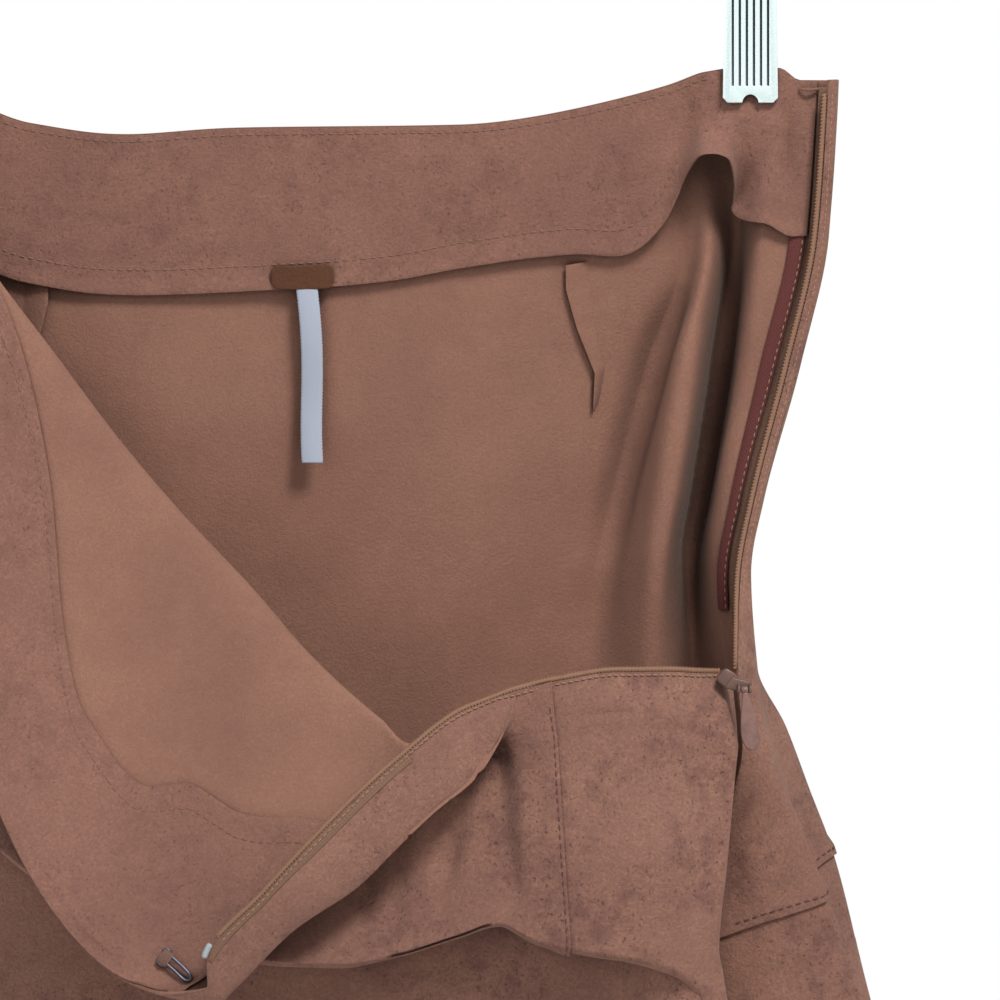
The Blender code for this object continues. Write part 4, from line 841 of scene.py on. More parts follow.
def tube(name, route, radii, sides, finish, blunt=False):
    """A closed tube of elliptical section along a route: radii are across and along its up direction."""
    route = np.asarray(route, float)
    ahead = unit(np.gradient(route, axis=0))
    guide = np.array([0.0, 1.0, 0.0]) if abs(ahead[:, 1]).max() < 0.9 else np.array([0.31, 0.2, 0.93])
    up = unit(guide - ahead * (ahead @ guide)[:, None])
    side = np.cross(ahead, up)
    turn = np.arange(sides) * 2 * math.pi / sides
    size = np.ones(len(route))
    if not blunt:
        size[0] = size[-1] = 0.55
    ring = side[:, None] * np.cos(turn)[:, None] * radii[0] + up[:, None] * np.sin(turn)[:, None] * radii[1]
    points = (route[:, None] + ring * size[:, None, None]).reshape(-1, 3)
    faces = [
        (i * sides + k, i * sides + (k + 1) % sides, (i + 1) * sides + (k + 1) % sides, (i + 1) * sides + k)
        for i in range(len(route) - 1) for k in range(sides)
    ]
    faces += [tuple(reversed(range(sides))), tuple(range(len(points) - sides, len(points)))]
    return tidied(add_mesh(name, points, faces, [finish]), 0.001)


def prism(name, outline, low, high, axis, finish, edge=0.0):
    """An outline in two axes, extruded along the third. axis is 0 for x, 1 for y and 2 for z."""
    count = len(outline)
    points = [np.insert(np.asarray(p, float), axis, end) for end in (low, high) for p in outline]
    faces = [(i, (i + 1) % count, (i + 1) % count + count, i + count) for i in range(count)]
    faces += [tuple(range(count)), tuple(range(count, 2 * count))]
    return rounded(tidied(add_mesh(name, points, faces, [finish]), 0.001), edge)


def cut(obj, cutters):
    """Takes each cutter out of the object. The new faces keep the cutter's finish."""
    for cutter in cutters:
        modifier = obj.modifiers.new("cut", "BOOLEAN")
        modifier.operation = "DIFFERENCE"
        modifier.material_mode = "TRANSFER"
        modifier.object = cutter
        graph = bpy.context.evaluated_depsgraph_get()
        mesh = bpy.data.meshes.new_from_object(obj.evaluated_get(graph))
        obj.modifiers.clear()
        obj.data = mesh
        bpy.data.objects.remove(cutter, do_unlink=True)


def joined(name, pieces):
    """One object from several."""
    first = pieces[0]
    shape = bmesh.new()
    for piece in pieces:
        graph = bpy.context.evaluated_depsgraph_get()
        mesh = bpy.data.meshes.new_from_object(piece.evaluated_get(graph))
        shape.from_mesh(mesh)
        bpy.data.meshes.remove(mesh)
    first.modifiers.clear()
    shape.to_mesh(first.data)
    shape.free()
    for piece in pieces[1:]:
        bpy.data.objects.remove(piece, do_unlink=True)
    first.name = name
    return first


def resampled(route, pitch):
    """Points a pitch apart along a route, with the direction at each."""
    route = np.asarray(route, float)
    length = along_route(route)
    count = max(2, int(length[-1] / pitch))
    at = (np.arange(count) + 0.5) * length[-1] / count
    points = np.stack([np.interp(at, length, route[:, axis]) for axis in range(3)], axis=1)
    return points, unit(np.gradient(points, axis=0))


def along_route(route):
    """How far along the route each of its points lies."""
    return np.concatenate([[0], np.cumsum(np.linalg.norm(np.diff(route, axis=0), axis=1))])


def spread(vectors, count):
    """The vectors, or the one vector, read at evenly spaced places."""
    vectors = np.atleast_2d(np.asarray(vectors, float))
    share, at = np.linspace(0, 1, len(vectors)), np.linspace(0, 1, count)
    return np.stack([np.interp(at, share, vectors[:, axis]) for axis in range(3)], axis=1)


# The rings of a capsule: the place along its length, and the share of its radius.
CAPSULE = ((-0.5, 0.35), (-0.3, 0.95), (0.0, 1.12), (0.3, 0.95), (0.5, 0.35))


def capsules(name, centres, ahead, outward, length, radius, finish, sides=6):
    """Many small rounded bars as one mesh, such as stitches. Each lies along ahead."""
    side = unit(np.cross(ahead, outward))
    up = np.cross(side, ahead)
    turn = np.arange(sides) * 2 * math.pi / sides
    rings = []
    for along, size in CAPSULE:
        ring = side[:, None] * np.cos(turn)[:, None] + up[:, None] * np.sin(turn)[:, None]
        rings.append(centres[:, None] + ahead[:, None] * along * length + ring * radius * size)
    points = np.stack(rings, axis=1).reshape(-1, 3)
    faces = []
    for n in range(len(centres)):
        base = n * len(CAPSULE) * sides
        for r in range(len(CAPSULE) - 1):
            for k in range(sides):
                a, b = base + r * sides + k, base + r * sides + (k + 1) % sides
                faces.append((a, b, b + sides, a + sides))
        faces.append(tuple(base + k for k in reversed(range(sides))))
        faces.append(tuple(base + (len(CAPSULE) - 1) * sides + k for k in range(sides)))
    return tidied(add_mesh(name, points, faces, [finish]), 0.0)


# ---------------------------------------------------------------- the draped sheets

class Draped(Cloth):
    """A sheet with its creases, and a slow unevenness. outside is 1 where its normals face out, or -1."""

    def __init__(self, base, creases, outside, hollow=0.0):
        super().__init__(base.across, base.down, base.lines)
        self.base, self.creases, self.outside, self.hollow = base, creases, outside, hollow
        self.traces = [self.trace(crease) for crease in creases]

    def at(self, across, down):
        across, down = np.asarray(across), np.asarray(down)
        points = self.base.at(across, down)
        u, v = across[:, None], down[None, :]
        edge = np.minimum(np.minimum(u, 1 - u) / FIXED_EDGE[0], np.minimum(v / FIXED_EDGE[1], 1))
        lift = np.zeros(points.shape[:2])
        for crease, trace in zip(self.creases, self.traces):
            lift += self.lift_of(crease, trace, across, down, points)
        lift += UNEVEN * np.sin(23 * u + 7 * v) * np.sin(17 * v + 2) * np.clip(edge, 0, 1)
        if self.hollow:
            reach = np.where(v < HOLLOW_PLACE[1], HOLLOW_REACH[1], HOLLOW_REACH[2])
            gap = ((u - HOLLOW_PLACE[0]) / HOLLOW_REACH[0]) ** 2 + ((v - HOLLOW_PLACE[1]) / reach) ** 2
            points = points + (self.hollow * np.exp(-gap))[..., None] * np.array([0, 1.0, 0])
        return points + self.base.normals(across, down) * (lift * self.outside)[..., None]

    def trace(self, crease):
        """The crease's line, as places across, places down and points on the sheet."""
        route = np.array(crease.route, float)
        at = np.linspace(0, 1, 41)
        knots = np.linspace(0, 1, len(route))
        us, vs = np.interp(at, knots, route[:, 0]), np.interp(at, knots, route[:, 1])
        return us, vs, np.array([self.base.at([u], [v])[0, 0] for u, v in zip(us, vs)])

    @staticmethod
    def lift_of(crease, trace, across, down, points):
        """The crease's height at each point, from its distance to the crease's line on the sheet.

        It fades out to the line's ends. Only points near enough across and down the sheet are worked out.
        """
        us, vs, line = trace
        near = (across > us.min() - CREASE_REACH[0]) & (across < us.max() + CREASE_REACH[0])
        rows = (down > vs.min() - CREASE_REACH[1]) & (down < vs.max() + CREASE_REACH[1])
        lift = np.zeros(points.shape[:2])
        if not near.any() or not rows.any():
            return lift
        gap = np.linalg.norm(points[np.ix_(near, rows)][:, :, None] - line, axis=3)
        least = gap.min(axis=2)
        pull = np.exp((least[..., None] - gap) / 1.2)
        along = (pull * np.linspace(0, 1, len(line))).sum(axis=2) / pull.sum(axis=2)
        taper = np.sin(np.clip(along, 0.01, 0.99) * math.pi) ** 0.7
        lift[np.ix_(near, rows)] = crease.depth * taper * np.exp(-((least / crease.width) ** 2))
        return lift


def fine_places(cloth, cell):
    """Places across and down the sheet, about a cell apart on average."""
    columns = np.linalg.norm(np.diff(cloth.lines, axis=0), axis=2).mean(axis=1)
    rows = np.linalg.norm(np.diff(cloth.lines, axis=1), axis=2).mean(axis=0)
    counts = [np.maximum(2, np.ceil(lengths / cell)).astype(int) for lengths in (columns, rows)]
    return samples(cloth.across, counts[0]), samples(cloth.down, counts[1])


def with_places(places, *more):
    """The places with more added, and any others closer than a third of a step to them dropped."""
    more = np.array(more, float)
    step = np.diff(places).mean() / 3
    keep = np.array([abs(more - p).min() > step for p in places])
    return np.unique(np.concatenate([places[keep], more]))


def lap_profile(gap):
    """How far a lapped edge is raised at a distance in from it."""
    share = np.clip((gap - LAP) / LAP_SLOPE, 0, 1)
    return LAP_RAISE * (1 - share**2 * (3 - 2 * share))


def turned_edge(gap):
    """How far a turned-under edge stands up at a distance in from it."""
    return np.exp(-(((gap - 1.0) / 1.6) ** 2)) * 0.5


# ---------------------------------------------------------------- dressing

def dress(obj, slot, *nodes, body="skirt"):
    """Puts a piece on its body, in the place of its solids."""
    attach(obj, body)
    if nodes:
        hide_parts(*nodes)
    return obj


def sewn(name, line, outward, finish, pitch=STITCH_PITCH, length=STITCH_LENGTH, radius=STITCH_RADIUS):
    """A row of stitches along a line. outward faces off the cloth, all along it or at each of its points."""
    centres, ahead = resampled(line, pitch)
    return capsules(name, centres, ahead, spread(outward, len(centres)), length, radius, finish)


def stitched(name, cloth, across, down, side, finish, lift=0.0):
    """A row of stitches on one face of the sheet, across it at one place down or the other way round."""
    across, down = np.atleast_1d(across), np.atleast_1d(down)
    outward = cloth.normals(across, down).reshape(-1, 3) * side
    line = cloth.at(across, down).reshape(-1, 3) + outward * (WALL / 2 + lift)
    return dress(sewn(name, line, outward, finish), "suede")


def facing_back(grid):
    """Normals to the back, one for each point of the grid."""
    return np.zeros_like(grid) + (0, 1.0, 0)


# ---------------------------------------------------------------- the back

TO_VIEWER = (0.0, -1.0, 0.0)


def make_back(cloth, outer, inner, thread):
    """The back's panel laps over its lower tier, on the outside."""
    tier = TIER_DROP / HEM_DROP
    along, down = fine_places(cloth, CELL)
    near = np.array(BACK_EDGE_STEPS) / HEM_DROP
    upper = within(with_places(down, *(tier - near)), 0, tier)
    lower = within(down, tier - LAP / HEM_DROP, 1)
    middle, normals = cloth.at(along, upper), cloth.normals(along, upper)
    middle = middle + normals * lap_profile((tier - upper) * HEM_DROP)[None, :, None]
    dress(wall("back_panel_cloth", middle, normals, WALL, [outer, inner]), "suede", "back_panel")
    middle, normals = cloth.at(along, lower), cloth.normals(along, lower)
    dress(wall("back_tier_cloth", middle, normals, WALL, [outer, inner]), "suede", "back_tier")
    across = np.linspace(0.004, 0.985, 260)
    stitched("back_seam_stitches", cloth, across, tier - SEAM_STITCH_IN / HEM_DROP, 1, thread, LAP_RAISE)
    stitched("back_hem_stitches", cloth, across, 1 - HEM_STITCH_IN / HEM_DROP, 1, thread)


def make_back_facing(cloth, outer, inner, thread):
    """The facing follows the back at the waist, down to its lower edge, which is turned under."""
    places = [p.along for p in FACING_EDGE]
    along, _ = fine_places(cloth, CELL)
    along = within(along, places[0], places[-1])
    edge = hermite(places, [p[1:] for p in FACING_EDGE], along)
    spans = [(FACING_REACH[0] / HEM_DROP, drop / HEM_DROP) for drop, _, _ in edge]
    rows = np.linspace(0, FACING_REACH[1] / HEM_DROP, FACING_ROWS)
    middle, normals, keep = lying(cloth, along, spans, rows, -(WALL + SEAM_GAP))
    tops = cloth.at(along, np.array([0.0]))[:, 0, 2]
    for column, (drop, lift, aside) in enumerate(edge):
        below = tops[column] - middle[column, :, 2]
        reach = np.clip((below - GRIP_DEPTH) / (drop - GRIP_DEPTH), 0, 1)
        ripple = 0.5 * np.sin(along[column] * 34 + 1) * reach
        middle[column, :, 0] += aside * reach**2
        middle[column, :, 1] -= lift * reach**2 + turned_edge(drop - below) + ripple * (along[column] < 0.5)
    facing = wall("back_facing_cloth", middle, normals, WALL, [inner, outer], keep)
    dress(facing, "suede", "back_facing")
    for name, from_edge in (("back_facing_stitches", True), ("back_waist_stitches", False)):
        line = []
        for column, (drop, _, _) in enumerate(edge):
            below = tops[column] - middle[column, :, 2]
            order = np.argsort(below)
            want = drop - FACING_STITCH_IN if from_edge else WAIST_STITCH_IN
            line.append([np.interp(want, below[order], middle[column, order, axis]) for axis in range(3)])
        line = np.array(line) - (0, WALL / 2, 0)
        line = line[line[:, 0] < CLIP_X - CLIP_WIDTH / 2 - 4]  # short of the clip
        dress(sewn(name, line, TO_VIEWER, thread), "suede")


def make_darts(cloth, inner, thread):
    """Each dart's intake lies folded on the inside, its free fold towards the middle."""
    knots, folds, breadths = zip(*DART)
    drops = np.linspace(knots[0] - 8, knots[-1], 40)
    shares = np.linspace(0, 1, 7)
    lifts = WALL / 2 - TRIM_WALL + (TRIM_WALL * 1.3 + 1.5 * (1 - shares)) * (1 - shares**3)
    folds, breadths = np.interp(drops, knots, folds), np.interp(drops, knots, breadths)
    for name, sign in (("dart_right", 1), ("dart_left", -1)):
        grid = []
        for drop, fold, width in zip(drops, folds, breadths):
            along, down = locate(cloth, sign * (fold + width * shares), drop)
            sheet, out = cloth.at(along, down)[:, 0], cloth.normals(along, down)[:, 0]
            grid.append(sheet - out * lifts[:, None])
        middle = np.array(grid)
        piece = wall(f"{name}_cloth", middle, facing_back(middle), TRIM_WALL, [inner], edge=0.3)
        dress(piece, "suede_inside", name)


def make_coil(side, route, outward, finish):
    """A zip's coil: its turns, as small bars across its line, on a core."""
    centres, ahead = resampled(route, TOOTH_PITCH)
    across = spread(outward, len(centres))
    across = unit(across - ahead * (across * ahead).sum(axis=1, keepdims=True))
    lean, face = unit(across + ahead * TOOTH_LEAN), np.cross(ahead, across)
    turns = capsules(f"coil_{side}_turns", centres, lean, face, TOOTH_LENGTH, TOOTH_RADIUS, finish, 8)
    core = tube(f"coil_{side}_core", route, COIL_CORE, 8, finish)
    dress(joined(f"zip_coil_{side}_turns", [turns, core]), "zip_coil", f"zip_coil_{side}")


def make_zip_back(cloth, coil, tape, binding, thread):
    """The tape and coil down the back's open edge, and the bound seam allowance beside them."""
    _, down = fine_places(cloth, CELL)
    zip_down = ZIP_DROP / HEM_DROP
    rows = within(down, 0.006, zip_down - 0.012)
    across = np.linspace(BACK_TAPE_ALONG[0], BACK_TAPE_ALONG[-1], 8)
    middle, normals = cloth.layer(across, rows, -TAPE_LIFT), cloth.normals(across, rows)
    strip = wall("zip_tape_back_cloth", middle, normals, TRIM_WALL, [tape], edge=0.2)
    dress(strip, "zip_tape", "zip_tape_back")
    rows = within(down, (BINDING_DROPS[0] - 3) / HEM_DROP, BINDING_DROPS[1] / HEM_DROP)
    across = np.linspace(BINDING_ALONG[0], BINDING_ALONG[-1], 9)
    middle, normals = cloth.layer(across, rows, -TAPE_LIFT - 0.3), cloth.normals(across, rows)
    crown = np.sin(np.linspace(0, 1, len(across)) * math.pi)[:, None, None]
    middle = middle - normals * crown * 0.5
    strip = wall("seam_binding_cloth", middle, normals, TRIM_WALL, [binding], edge=0.25)
    dress(strip, "binding", "seam_binding")
    line = middle[-2] - normals[-2] * (TRIM_WALL / 2 + 0.1)
    dress(sewn("binding_stitches", line, TO_VIEWER, thread, *BINDING_STITCH), "binding")
    ends = cloth.at(np.array([0.97, 1.0]), np.linspace(0.012, zip_down - 0.004, 90))
    outward = unit(ends[1] - ends[0])
    make_coil("back", ends[1] + outward * COIL_RADII[0], outward, coil)
    line = ends[1] - outward * 2.1 + (0, -0.55, 0)
    dress(sewn("zip_stitches_back", line, TO_VIEWER, thread, *ZIP_BACK_STITCH), "zip_tape")


# ---------------------------------------------------------------- the front

def make_front(cloth, outer, inner, thread):
    """Yoke over first tier over second tier, each lapped on the outside and topstitched."""
    across, down = fine_places(cloth, CELL)
    seams = [seam - step for seam in (UPPER_SEAM_DOWN, LOWER_SEAM_DOWN) for step in FRONT_EDGE_STEPS_DOWN]
    down = with_places(down, *seams, UPPER_SEAM_DOWN, LOWER_SEAM_DOWN)
    sides = [UPPER_SEAM_ACROSS - step for step in FRONT_EDGE_STEPS_ACROSS]
    across = with_places(across, *sides, UPPER_SEAM_ACROSS)
    middle, normals = cloth.at(across, down), cloth.normals(across, down)
    along = np.linalg.norm(np.gradient(middle, across, axis=0), axis=2)
    drop = np.linalg.norm(np.gradient(middle, down, axis=1), axis=2)
    u, v = np.meshgrid(across, down, indexing="ij")
    far = 99  # past a seam, where nothing is raised
    to_side = np.where(u <= UPPER_SEAM_ACROSS, (UPPER_SEAM_ACROSS - u) * along, far)
    to_foot = np.where(v <= UPPER_SEAM_DOWN, (UPPER_SEAM_DOWN - v) * drop, far)
    yoke = middle - normals * lap_profile(np.minimum(to_side, to_foot))[..., None]
    to_foot = np.where(v <= LOWER_SEAM_DOWN, (LOWER_SEAM_DOWN - v) * drop, far)
    tier_1 = middle - normals * lap_profile(to_foot)[..., None]
    u, v = (part[:-1, :-1] + part[1:, 1:] for part in (u / 2, v / 2))
    low_drop = drop[:, down > 0.7].mean()
    tuck_u, tuck_v = LAP / along.mean(), LAP / low_drop
    past = (u > UPPER_SEAM_ACROSS - tuck_u) | (v > UPPER_SEAM_DOWN - tuck_v)
    for node, grid, keep in (
        ("front_yoke", yoke, (u < UPPER_SEAM_ACROSS) & (v < UPPER_SEAM_DOWN)),
        ("front_tier_1", tier_1, past & (v < LOWER_SEAM_DOWN)),
        ("front_tier_2", middle, v > LOWER_SEAM_DOWN - tuck_v),
    ):
        dress(wall(f"{node}_cloth", grid, normals, WALL, [inner, outer], keep), "suede", node)
    foot = UPPER_SEAM_DOWN - SEAM_STITCH_IN / low_drop
    us = np.linspace(0.004, UPPER_SEAM_ACROSS - 0.006, 240)
    stitched("yoke_foot_stitches", cloth, us, foot, -1, thread, LAP_RAISE)
    edge = UPPER_SEAM_ACROSS - SEAM_STITCH_IN / along[across > 0.85].mean()
    stitched("yoke_side_stitches", cloth, edge, np.linspace(0.10, foot, 200), -1, thread, LAP_RAISE)
    us = np.linspace(0.004, 0.992, 260)
    low = LOWER_SEAM_DOWN - SEAM_STITCH_IN / low_drop
    stitched("tier_stitches", cloth, us, low, -1, thread, LAP_RAISE)
    stitched("front_hem_stitches", cloth, us, FRONT_HEM_DOWN, -1, thread)


def make_front_facing(cloth, outer, inner, thread):
    """The facing lies inside the front's waist, and ends under the rolled edge beside the zip."""
    places, starts, ends = zip(*FRONT_FACING)
    across, _ = fine_places(cloth, CELL)
    columns = within(across, 0.004, places[-1])
    spans = list(zip(np.interp(columns, places, starts), hermite(places, ends, columns, guarded=True)))
    middle, normals, keep = lying(cloth, columns, spans, np.linspace(0, 0.45, 80), WALL + SEAM_GAP)
    points, outward = [], []
    for column, normal in zip(middle, normals):
        left = along_route(column[::-1])[::-1]
        column += normal * turned_edge(left)[:, None]
        left = along_route(column[::-1])[::-1]
        if left.max() >= SHORTEST_SEWN:
            spot = [np.interp(FRONT_FACING_STITCH_IN, left[::-1], column[::-1, axis]) for axis in range(3)]
            outward.append(normal[abs(left - FRONT_FACING_STITCH_IN).argmin()])
            points.append(spot + outward[-1] * WALL / 2)
    facing = wall("front_facing_cloth", middle, normals, WALL, [outer, inner], keep)
    dress(facing, "suede", "front_facing")
    dress(sewn("front_facing_stitches", points, outward, thread), "suede")


def make_zip_front(cloth, coil, tape, stop, thread):
    """The tape and coil along the front's rolled edge, with a strip of tape on its outside and the stop."""
    across, _ = fine_places(cloth, CELL)
    columns = within(across, *FRONT_TAPE_ALONG)
    rows = np.linspace(*FRONT_TAPE_DOWN, 5)
    middle, normals = cloth.layer(columns, rows, TAPE_LIFT), cloth.normals(columns, rows)
    strip = wall("zip_tape_front_cloth", middle, normals, TRIM_WALL, [tape], edge=0.2)
    dress(strip, "zip_tape", "zip_tape_front")
    columns = within(across, *EDGING_ALONG)
    rows = np.linspace(*EDGING_DOWN, 3)
    middle, normals = cloth.layer(columns, rows, -(WALL / 2 + 0.2)), cloth.normals(columns, rows)
    dress(wall("zip_tape_front_edging", middle, normals, 0.4, [tape], edge=0.15), "zip_tape")
    columns = np.linspace(*FRONT_COIL_ALONG, 130)
    ends = cloth.at(columns, np.array([0.0, 0.03]))
    outward = unit(ends[:, 0] - ends[:, 1])
    make_coil("front", ends[:, 0] + outward * COIL_RADII[0], outward, coil)
    normals = cloth.normals(columns, np.array([0.02]))[:, 0]
    line = ends[:, 0] - outward * 1.1 - normals * (WALL / 2 + 0.45)
    dress(sewn("zip_stitches_front", line, -normals, thread, *ZIP_FRONT_STITCH), "zip_tape")
    route = coil_route(cloth, np.linspace(*TOP_STOP_ALONG, 12))
    dress(tube("zip_top_stop_moulded", route, (1.05, 1.0), 16, stop), "stop_white", "zip_top_stop")


# ---------------------------------------------------------------- small pieces

def make_labels(cloth, loop_finish, ribbon_finish):
    along, _ = locate(cloth, np.linspace(*LOOP_X, 30), sum(LOOP_DROPS) / 2)
    rows = np.linspace(*LOOP_DROPS, 12) / HEM_DROP
    shift = -(WALL * 1.5 + SEAM_GAP * 2.5 + TRIM_WALL / 2)
    middle, normals = cloth.layer(along, rows, shift), cloth.normals(along, rows)
    middle[..., 1] -= facing_lift(LOOP_ALONG)
    across = np.linspace(-1, 1, len(along))
    slump = (1 - across**2) ** 0.8
    middle[..., 1] -= (0.6 * slump + 0.3)[:, None]
    middle[..., 2] -= (0.48 * slump)[:, None]
    corner = np.sqrt(1 - (np.clip(np.abs(across) - 0.78, 0, 1) / 0.26) ** 2)[:, None]
    centre = middle[..., 2].mean(axis=1, keepdims=True)
    middle[..., 2] = centre + (middle[..., 2] - centre) * corner
    loop = wall("label_loop_woven", middle, normals, TRIM_WALL, [loop_finish], edge=0.3)
    dress(loop, "label_brown", "label_loop")
    top = middle[len(along) // 2, -1]
    heights = np.linspace(top[2] + 1.5, RIBBON_END_Z, 150)
    share = (top[2] + 1.5 - heights) / (top[2] + 1.5 - RIBBON_END_Z)
    picot = 0.30 * np.abs(np.sin(heights * math.pi / 1.1))
    places = np.linspace(-1, 1, 15)
    drift = RIBBON_DRIFT * share + 0.8 * np.sin(share * 5)
    depth = top[1] + 0.3 + 1.5 * share - 0.7 * np.sin(share * 7)
    grid = []
    for place in places:
        edge = picot * (abs(place) > 0.95)
        x = drift + place * (RIBBON_WIDTH / 2 + edge)
        y = depth - 0.35 * (1 - place**2) - 0.25 * place * share
        grid.append(np.stack([x, y, heights], axis=1))
    middle = np.array(grid)
    ribbon = wall("care_ribbon_woven", middle, facing_back(middle), 0.3, [ribbon_finish], edge=0.0)
    dress(ribbon, "ribbon_blue", "care_ribbon")


def make_fasteners(front, back, steel, thread):
    """The waist hook inside the front's corner, and the thread eye on the back beside the zip."""
    spot = front.layer(*HOOK_PLACE, WALL * 1.5 + SEAM_GAP * 2.5 + HOOK_STAND)[0, 0]

    def turned(steps):
        return [spot + HOOK_AHEAD * a + HOOK_ASIDE * b + (0, c, 0) for a, c, b in steps]

    knots = np.arange(len(HOOK_ROUTE))
    wire = turned(hermite(knots, HOOK_ROUTE, np.linspace(0, knots[-1], 48)))
    wires = [tube("hook_wire", wire, (HOOK_WIRE, HOOK_WIRE), 10, steel)]
    turn = np.linspace(0, 2 * math.pi, 20)
    for k, aside in enumerate((1.7, -1.5)):
        ring = turned([(-6.2 + 1.5 * math.cos(t), 0.1, aside + 1.2 * math.sin(t)) for t in turn])
        wires.append(tube(f"hook_eye_{k}", ring, (0.45, 0.45), 8, steel))
    dress(joined("waist_hook_wire", wires), "dark_steel", "waist_hook")
    wraps = []
    shares = np.linspace(0, 1, 9)
    for k in range(7):
        ahead = -7.6 + 0.5 * k
        arch = turned([(ahead + 0.3 * t, -0.75 + 2.4 * (t - 0.5) ** 2, -2.6 + 5.4 * t) for t in shares])
        wraps.append(tube(f"wrap_{k}", arch, (0.24, 0.24), 6, thread))
    dress(joined("hook_thread", wraps), "suede_inside")
    spot = back.layer(*EYE_PLACE, -(WALL * 1.5 + SEAM_GAP * 2 + EYE_WIRE))[0, 0]
    strands = []
    for k in range(3):
        arch = []
        for x in np.linspace(-EYE_SPAN / 2, EYE_SPAN / 2, 40):
            twist = x * 2.4 + k * 2 * math.pi / 3
            lift = 0.28 * math.cos(twist) - EYE_RISE * math.cos(math.pi * x / EYE_SPAN)
            arch.append(spot + (x, lift, 0.28 * math.sin(twist) - 0.5 * math.cos(x * 0.45)))
        strands.append(tube(f"eye_strand_{k}", arch, (0.26, 0.26), 6, thread))
    dress(joined("thread_eye_strands", strands), "suede_inside", "thread_eye")


def make_slider(finish, tab_finish):
    """The slider at the foot of the open zip, and the drop-shaped tab on its pivot."""
    flat = [SLIDER_CENTRE + SLIDER_ALONG * a * 0.92 + SLIDER_ACROSS * b * 0.85 for a, b in SLIDER_OUTLINE]
    flat = [(p[0], p[2]) for p in flat]
    x, y, z = PIVOT
    pieces = []
    for name, side in (("slider_front", -1), ("slider_back", 1)):
        outer = SLIDER_CENTRE[1] + side * SLIDER_THICKNESS / 2
        low, high = sorted((outer, outer - side * SLIDER_PLATE))
        pieces.append(prism(name, flat, low, high, 1, finish, 0.4))
    post = [SLIDER_CENTRE + SLIDER_ALONG * -2.2 + (0, step, 0) for step in (-1.2, 0, 1.2)]
    pieces.append(tube("slider_post", post, (1.3, 1.3), 12, finish, True))
    ear = [(y + a, z + b) for a, b in EAR_OUTLINE]
    for k, step in enumerate(EARS):
        pieces.append(prism(f"ear_{k}", ear, x + step - EAR_HALF, x + step + EAR_HALF, 0, finish, 0.3))
    bridge = [(x + a, z + b) for a, b in BRIDGE_OUTLINE]
    pieces.append(prism("bridge", bridge, y + BRIDGE_DEPTHS[0], y + BRIDGE_DEPTHS[1], 1, finish, 0.4))
    # The body wears the dimmed rose: painted shade.
    dress(joined("zip_slider_body", pieces), "tab_rose", "zip_slider")
    drops = np.linspace(TAB_WIDTHS[0].drop, TAB_WIDTHS[-1].drop, 26)
    halves = hermite(*zip(*TAB_WIDTHS), drops)
    left = [(x - half + TAB_LEAN * drop, z - drop) for drop, half in zip(drops, halves)]
    right = [(x + half + TAB_LEAN * drop, z - drop) for drop, half in zip(drops[::-1], halves[::-1])]
    tab = prism("tab_plate", left + right, y - TAB_THICKNESS / 2, y + TAB_THICKNESS / 2, 1, tab_finish, 0.55)
    barrel = [PIVOT + (step, 0, 0) for step in (-1.1, 0, 1.1)]
    barrel = tube("tab_barrel", barrel, (1.05, 1.05), 16, tab_finish, True)
    dress(joined("zip_pull_tab_drop", [tab, barrel]), "tab_rose", "zip_pull_tab", body="pull_tab")


# ---------------------------------------------------------------- the hanger

def make_hanger(steel, dark):
    """The bar with its two caps, and the hook's wire in its collar."""
    bar = [(x, 0, BAR_Z) for x in np.linspace(-BAR_HALF_LENGTH, BAR_HALF_LENGTH, 9)]
    pieces = [tube("bar", bar, (BAR_RADIUS, BAR_RADIUS), 32, steel)]
    for k, side in enumerate((-1, 1)):
        end = side * (BAR_HALF_LENGTH + 0.5)
        cap = [(end - side * step, 0, BAR_Z) for step in (0, 2, 3)]
        pieces.append(tube(f"bar_cap_{k}", cap, (BAR_RADIUS + 0.8, BAR_RADIUS + 0.8), 24, dark))
    dress(joined("hanger_bar_tube", pieces), "clip_steel", "hanger_bar")
    radius = HOOK_INNER_RADIUS + HOOK_WIRE_RADIUS
    centre_z = HOOK_TO_WAIST - HOOK_INNER_RADIUS
    foot = BAR_Z + BAR_RADIUS
    stem = [(0, foot - 1), (0, foot + 10), (0, foot + HOOK_STEM), (HOOK_BEND[0], centre_z + HOOK_BEND[1])]
    turns = np.radians(np.linspace(*HOOK_ROUND, 22))
    arc = [(radius * math.cos(t), centre_z + radius * math.sin(t)) for t in turns]
    route = np.array(stem + arc)
    length = along_route(route)
    flat = hermite(length, route, np.linspace(0, length[-1], 160))
    route = np.insert(flat, 1, 0, axis=1)
    wire = tube("hook_wire_rod", route, (HOOK_WIRE_RADIUS, HOOK_WIRE_RADIUS), 20, steel)
    collar = tube("hook_collar", [(0, 0, foot + step) for step in (-0.4, 3, 5)], (2.9, 2.9), 24, steel)
    dress(joined("hanger_hook_wire", [wire, collar]), "clip_steel", "hanger_hook")


